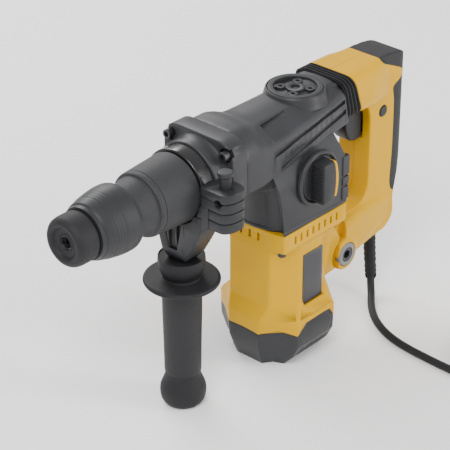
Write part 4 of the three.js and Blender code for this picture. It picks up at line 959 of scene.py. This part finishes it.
def make_clamp(m, x, top):
    hoop = Shape().lathe(soften([(x - 7, 28.9), (x - 7, 31.6), (x - 6.2, 32.4), (x + 6.2, 32.4),
            (x + 7, 31.6),
                                 (x + 7, 28.9)], 0.5))
    finish_piece(hoop.object("clamp_hoop"), m["gloss"], "side_handle", (), 0)
    nose_front = box_mm("front_flange")[0][0]

    def keep_clear(piece):
        carve(piece, Shape().lathe([(x - 60, 0), (x - 60, 32.0), (nose_front - 0.4, 32.0),
                (nose_front - 0.4, 36.0),
                                    (x + 60, 36.0), (x + 60, 0)]))
        return piece

    def across(z, front, rear, left, right, radius):
        return [(u, v, z) for u, v in rectangle(x + front, x + rear, -left, right, radius)]

    base = top + 0.5
    funnel = Shape().loft([across(base, -8, 8, 11, 9, 2), across(base + 8, -11.8, 11.8, 17, 12, 2),
                           across(base + 22, -11.8, 11.8, 25, 16, 2), across(base + 34, -11.8, 11.8, 31,
                                   20, 2),
                           across(base + 52, -11.8, 11.8, 34, 22, 2)]).object("clamp_funnel")
    carve(funnel, Shape().loft([[(x - d, y, z) for y, z in
                                 ((-w, base + 12), (w - 2, base + 12), (w + 6, base + 40),
                                         (-w - 6, base + 40))]
                                for d, w in ((9.2, 4.5), (14, 7))]))
    keep_clear(funnel)
    finish_piece(funnel, m["black"], "side_handle", (), 0.9)
    fins = Shape()
    for y in (-14, -5, 4, 12):
        for side in (-1, 1):
            fins.loft([[(x + side * (d - 0.1), y - 0.8, z), (x + side * d, y + 0.8, z),
                    (x + side * (d - 3.5), y + 0.8, z),
                        (x + side * (d - 3.5), y - 0.8, z)] for d, z in ((9.6, base + 9), (11.9,
                                base + 24), (11.9, base + 38))])
    fins = keep_clear(fins.object("clamp_fins"))
    finish_piece(fins, m["black"], "side_handle", (), 0.25)

    cx, cy = BLOCK_PLACE
    steps = Shape()
    rise = BLOCK_HEIGHT / BLOCK_STEPS
    plan = rounded([(cx - 13, cy + 16), (cx - 13, cy - 10), (cx - 4, cy - 15), (cx + 8, cy - 15),
            (cx + 13, cy - 8),
                    (cx + 13, cy + 16)], [3, 5, 6, 6, 6, 3], 6)
    middle = Vector((cx, cy + 4))

    def level(z, share):
        return [(*(middle + (Vector(p) - middle) * share), z) for p in plan]

    rings = []
    for i in range(BLOCK_STEPS):
        z = BLOCK_LOW + i * rise
        rings += [level(z + 0.2, 0.93), level(z + 1.0, 0.93), level(z + 1.2, 0.985), level(z + 2.0, 1.0),
                  level(z + rise - 0.9, 1.0), level(z + rise - 0.1, 0.985)]
    steps.loft(rings)
    block = steps.object("clamp_block")
    carve(block, Shape().rod(AXIS_Z - 18, 240, 5.3, "z", (cx, cy - 1), 40))
    carve(block, Shape().prism(circle(cy - 4, AXIS_Z + 3, 4.3, 6), "x", -160, -100))
    keep_clear(block)
    finish_piece(block, m["black"], "side_handle", ("clamp_body",), 0.35)
    arm = Shape().loft([[(u, y, v) for u, v in rectangle(x - 11, x + 11, low, high, 2.5)] for y, low,
            high in
                        ((cy + 6, 192, 213), (-33, 186, 212), (-20, 180, 208))])
    arm = keep_clear(arm.object("clamp_arm"))
    finish_piece(arm, m["black"], "side_handle", (), 0.8)

    (dx0, dy0, dz0), (dx1, dy1, dz1) = box_mm("depth_stop_button")
    pin = Shape().lathe(soften([(dz0, 0), (dz0, 5), (dz1 - 4.5, 5), (dz1 - 3.4, 6.7), (dz1 - 0.8, 6.7),
            (dz1, 5.8), (dz1, 0)],
                               0.6), "z", ((dx0 + dx1) / 2, (dy0 + dy1) / 2), 64)
    pin = carve(pin.object("depth_button_skin"),
            Shape().prism(circle(cy - 4, AXIS_Z + 3, 4.6, 6), "x", -160, -100))
    finish_piece(pin, m["black"], "depth_button", ("depth_stop_button",), 0)


# ------------------------------------------------------------------ rear handle
def lean(z):
    """How far the joint between casing and handle leans forward, from none at its foot to one at its top."""
    return min(1.0, max(0.0, (z - 211) / 41))


def handle_outline(back, top):
    corners = [(81, 212), (81, top), (back - 52, top - 0.5), (back - 26, top - 1.5), (back - 9, top - 4.5),
               (back - 0.6, top - 11), (back + 0.6, top - 20), (back - 5.4, 216), (back - 1.8,
                       198), (back - 1.2, 172),
               (back - 2, 150), (back - 7.5, 122), (back - 12.8, 107), (back - 13.2, 95), (back - 12, 88),
               (back - 13, 79), (back - 22, 69.5), (112, 67), (66, 57), (55, 63), (51, 82), (58,
                       101), (72, 112),
               (96, 112), (105, 124), (105, 196), (101, 208.5)]
    radii = [2, 3, 20, 14, 12, 10, 10, 9, 12, 20, 20, 16, 8, 5, 4, 5, 8, 20, 12, 12, 14, 10, 10, 8, 10, 8,
            4]
    return rounded(corners, radii, 6)


def make_rear_handle(m):
    back = box_mm("grip_cover")[1][0] - 1.0
    top = box_mm("handle_shell_left")[1][2]
    px, pz = pivot_place()
    outline = handle_outline(back, top)
    core = Shape().loft([[(u, y, v) for u, v in outline] for y in (-HANDLE_HALF, -9, 0, 9,
            HANDLE_HALF)]).object("handle_core")
    plan = rounded([(20, -HANDLE_HALF), (back + 1.5, -HANDLE_HALF), (back + 1.5, HANDLE_HALF),
            (20, HANDLE_HALF)], [1, 17, 17, 1], 14)
    carve(core, Shape().prism(plan, "z", 40, 270), "INTERSECT")
    shoulder = Shape().loft([[(x, y, z) for y, z in rectangle(-w, w, low, high, r, 8)] for x, w, low,
            high, r in
                             ((81, 28, 211.5, top - 0.2, 11), (100, 27, 209.5, top - 0.2, 11),
                                     (114, 23.5, 207, top - 1.5, 11),
                              (back - 30, 18.5, 205, top - 4, 10))])
    carve(core, shoulder, "UNION")
    carve(core, Shape().lathe([(-27, 0), (-27, 14), (-25, 16), (25, 16), (27, 14), (27, 0)], "y",
            (px, pz), 64), "UNION")
    foot = Shape().loft([[(x, y, z) for y, z in rectangle(-w, w, low, high, r, 8)] for x, w, low, high, r in
                         ((px, 25.5, pz - 13, 108, 9), (90, 24, 66, 111, 10), (112, 21.5, 69.5, 111, 10),
                          (back - 18, 17.6, 78, 110, 9))])
    carve(core, foot, "UNION")
    melt(core, 0.0011, 6)
    for vertex in core.data.vertices:
        x, z = vertex.co.x / MM, vertex.co.z / MM
        vertex.co.x -= 14 * MM * ease((125 - x) / 42) * lean(z)

    rear = back - 7.5
    zone = [(rear - 44, 275), (rear - 34, 246), (rear - 1, 230), (rear + 3, 223), (rear - 14.5, 216),
            (rear - 11.5, 203),
            (rear - 11, 180), (rear - 11, 150), (rear - 13, 116), (rear - 9, 106.5), (back + 30,
                    104), (back + 30, 275)]

    def zone_shape(grow):
        moved = [(u - grow, v - (grow if v < 110 else 0)) for u, v in zone[:-2]] + zone[-2:]
        return Shape().prism(soften(moved, 5, 4), "y", -40, 40)

    grip = carve(duplicate(core, "grip_rubber"), zone_shape(0), "INTERSECT")
    ribs = Shape()
    for i in range(7):
        z = 121 + i * 11.5
        ribs.prism(rounded([(back - 2.9, z), (back + 6, z - 3.4), (back + 6, z - 1.4),
                (back - 2.9, z + 1.6)], 0.5), "y", -30, 30)
    carve(grip, ribs)
    finish_piece(grip, m["grip"], "rear_handle", ("grip_cover",), 0)

    carve(core, zone_shape(0.35))
    carve(core, Shape().prism(web_outline(0.7), "y", -40, 40))
    rooms = Shape()
    rooms.block(30, px, -14, 14, pz - 14, pz + 29)
    carve(core, rooms)
    carve(core, Shape().block(30, px - 4, -14, 14, pz - 30, pz + 40))
    carve(core, Shape().rod(-14, 14, 13.5, "y", (px, pz), 48))
    carve(core, Shape().rod(-60, 60, 5.4, "y", (px, pz), 32))
    for side in (-1, 1):
        a, b = sorted((side * 22, side * 40))
        carve(core, Shape().rod(a, b, 11.9, "y", (px, pz), 64))
    (tx0, ty0, tz0), (tx1, ty1, tz1) = box_mm("trigger")
    carve(core, Shape().block(tx0 - 3, tx1 + 9, ty0 - 0.4, ty1 + 0.4, tz0 - 0.6, tz1 + 0.6))
    (sx0, sy0, sz0), (sx1, sy1, sz1) = box_mm("switch_body")
    carve(core, Shape().block(sx0 - 4, sx1 + 0.6, sy0 - 1, sy1 + 1, sz0 - 1, sz1 + 14))
    (lx0, _, lz0), (lx1, _, lz1) = box_mm("lock_button")
    lock = ((lx0 + lx1) / 2, (lz0 + lz1) / 2)
    carve(core, Shape().rod(-60, -4, 5.9, "y", lock, 48))
    carve(core, Shape().rod(50, 80, 7.1, "z", (134, 0), 40))
    for side, name in ((-1, "left"), (1, "right")):
        half = duplicate(core, f"handle_skin_{name}")
        a, b = sorted((side * 0.16, side * 60))
        carve(half, Shape().block(0, 300, a, b, 0, 400), "INTERSECT")
        finish_piece(half, m["yellow"], "rear_handle", (f"handle_shell_{name}",), 0)
    bpy.data.objects.remove(core)
    make_handle_details(m, (px, pz), lock)


def make_handle_details(m, pivot, lock):
    for node, side in (("pivot_bolt", -1), ("pivot_nut", 1)):
        face = 27.6 * side
        ring = [(face, 7.2), (face, 10.6), (face - side * 0.8, 11.4), (face - side * 4.8, 11.4),
                (face - side * 4.8, 7.2)]
        washer = Shape().lathe(soften(ring, 0.5), "y", pivot, 72)
        finish_piece(washer.object(node + "_washer"), m["washer"], "rear_handle", (node,), 0)
        head = [(face - side * 0.7, 0), (face - side * 0.7, 6.6), (face - side * 1.2, 7.1),
                (face - side * 8, 7.1), (face - side * 8, 0)]
        hexagon = [(pivot[0] + 4.4 * math.cos(TAU * i / 6 + 0.3),
                pivot[1] + 4.4 * math.sin(TAU * i / 6 + 0.3)) for i in range(6)]
        screw = Shape().lathe(soften(head, 0.3), "y", pivot, 48)
        a, b = sorted((face + side, face - side * 6))
        screw = carve(screw.object(node + "_socket"), Shape().prism(hexagon, "y", a, b))
        finish_piece(screw, m["screw"], "rear_handle", (), 0)
    axle = Shape().rod(-21, 21, 5, "y", pivot, 32)
    finish_piece(axle.object("pivot_axle"), m["screw"], "rear_handle", (), 0)

    (x0, y0, z0), (x1, y1, z1) = box_mm("trigger")
    outline = rounded([(x0, z1 - 0.4), (x0 + 0.6, z0 + 14), (x0 + 7, z0 + 3), (x0 + 13, z0), (x1 - 5, z0),
            (x1 - 4.6, z1 - 0.4)],
                      [3, 10, 8, 5, 2, 2], 7)
    middle = Vector((x0 + 14, z0 + 16))
    lever = Shape()
    rings = []
    for y, share in ((y0, 0.9), (y0 + 0.8, 0.96), (y0 + 2.4, 1.0), (y1 - 2.4, 1.0), (y1 - 0.8, 0.96),
            (y1, 0.9)):
        shrunk = [middle + (Vector(p) - middle) * share for p in outline]
        rings.append([(p.x, y, p.y) for p in shrunk])
    lever.loft(rings)
    lever.block(x1 - 6, x1, y0 + 3, y1 - 3, z0 + 7, z1 - 7)
    finish_piece(lever.object("trigger_skin"), m["black"], "trigger", ("trigger",), 0.3)

    (_, y0, _), (_, y1, _) = box_mm("lock_button")
    button = [(y0, 0), (y0, 4.4), (y0 + 0.5, 5.0), (y0 + 1.2, 5.5), (y1, 5.5), (y1, 0)]
    cap = Shape().lathe(soften(button, 0.5), "y", lock, 64)
    finish_piece(cap.object("lock_button_skin"), m["black"], "lock_button", ("lock_button",), 0)

    (bx0, _, bz0), (bx1, by1, bz1) = box_mm("bellows")
    ribs = 4
    rings = []
    count = ribs * 12
    for side in (0, 1):
        line = range(count + 1) if side == 0 else range(count, -1, -1)
        for i in line:
            wave = 0.5 - 0.5 * math.cos(TAU * ribs * i / count)
            depth = 2.6 * wave ** 1.6 + 1.9 * side
            x = bx0 + (bx1 - bx0) * i / count
            shift = mix(9.0, 14.0, i / count)
            rings.append([(x - shift * lean(v), u, v) for u, v in
                          rectangle(-by1 + depth, by1 - depth, bz0 + depth, bz1 - depth, 12 - depth * 0.5,
                                  8)])
    gaiter = Shape().loft(rings, closed=True).object("bellows_skin")
    finish_piece(gaiter, m["rubber"], None, ("bellows",), 0)
    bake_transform(gaiter)

    line = smooth_line([(134, 0, 74), (134, 0, 66), (132.8, -1.4, 54), (130.6, -4.4, 38),
            (126.9, -9.1, 20.2), (126.2, -9.9, 17.8)], 12)
    radii = []
    for i in range(len(line)):
        t = i / (len(line) - 1)
        ripple = 0.45 * (1 if 0.3 < t < 0.93 and int(t * 34) % 2 else 0)
        radii.append(mix(6.7, 5.4, t) - ripple)
    relief = Shape().loft(tube_rings(line, radii, 32))
    finish_piece(relief.object("strain_relief_skin"), m["rubber"], "rear_handle", ("strain_relief",), 0)


# ------------------------------------------------------------------ inner parts keep their CAD shape
INNER = {
    "steel": ("armature_shaft", "motor_bearing_lower", "motor_bearing_upper", "front_bearing",
            "rear_bearing", "spindle",
              "locking_ball_left", "locking_ball_right", "spindle_bevel_gear", "lay_shaft", "crank_gear",
              "crank_bearing", "wrist_pin", "ram", "impact_bolt", "sleeve_spring", "clamp_bolt"),
    "laminated": ("armature_core", "stator"),
    "screw": ("connecting_rod",),
    "aluminium": ("piston", "brush_holder_left", "brush_holder_right"),
    "copper": ("commutator",),
    "carbon": ("carbon_brush_left", "carbon_brush_right", "switch_body"),
    "black": ("cooling_fan",),
}


def dress_inner_parts(m):
    for look, names in INNER.items():
        for name in names:
            for slot in bpy.data.objects[name].material_slots:
                slot.material = m[look]


def main():
    make_camera()
    make_studio()
    materials = make_materials()
    make_cord(materials)
    make_chuck(materials)
    make_barrel(materials)
    make_flange(materials)
    make_cover(materials)
    make_gear_case(materials)
    make_motor(materials)
    make_knob(materials)
    make_side_handle(materials)
    make_rear_handle(materials)
    dress_inner_parts(materials)


main()
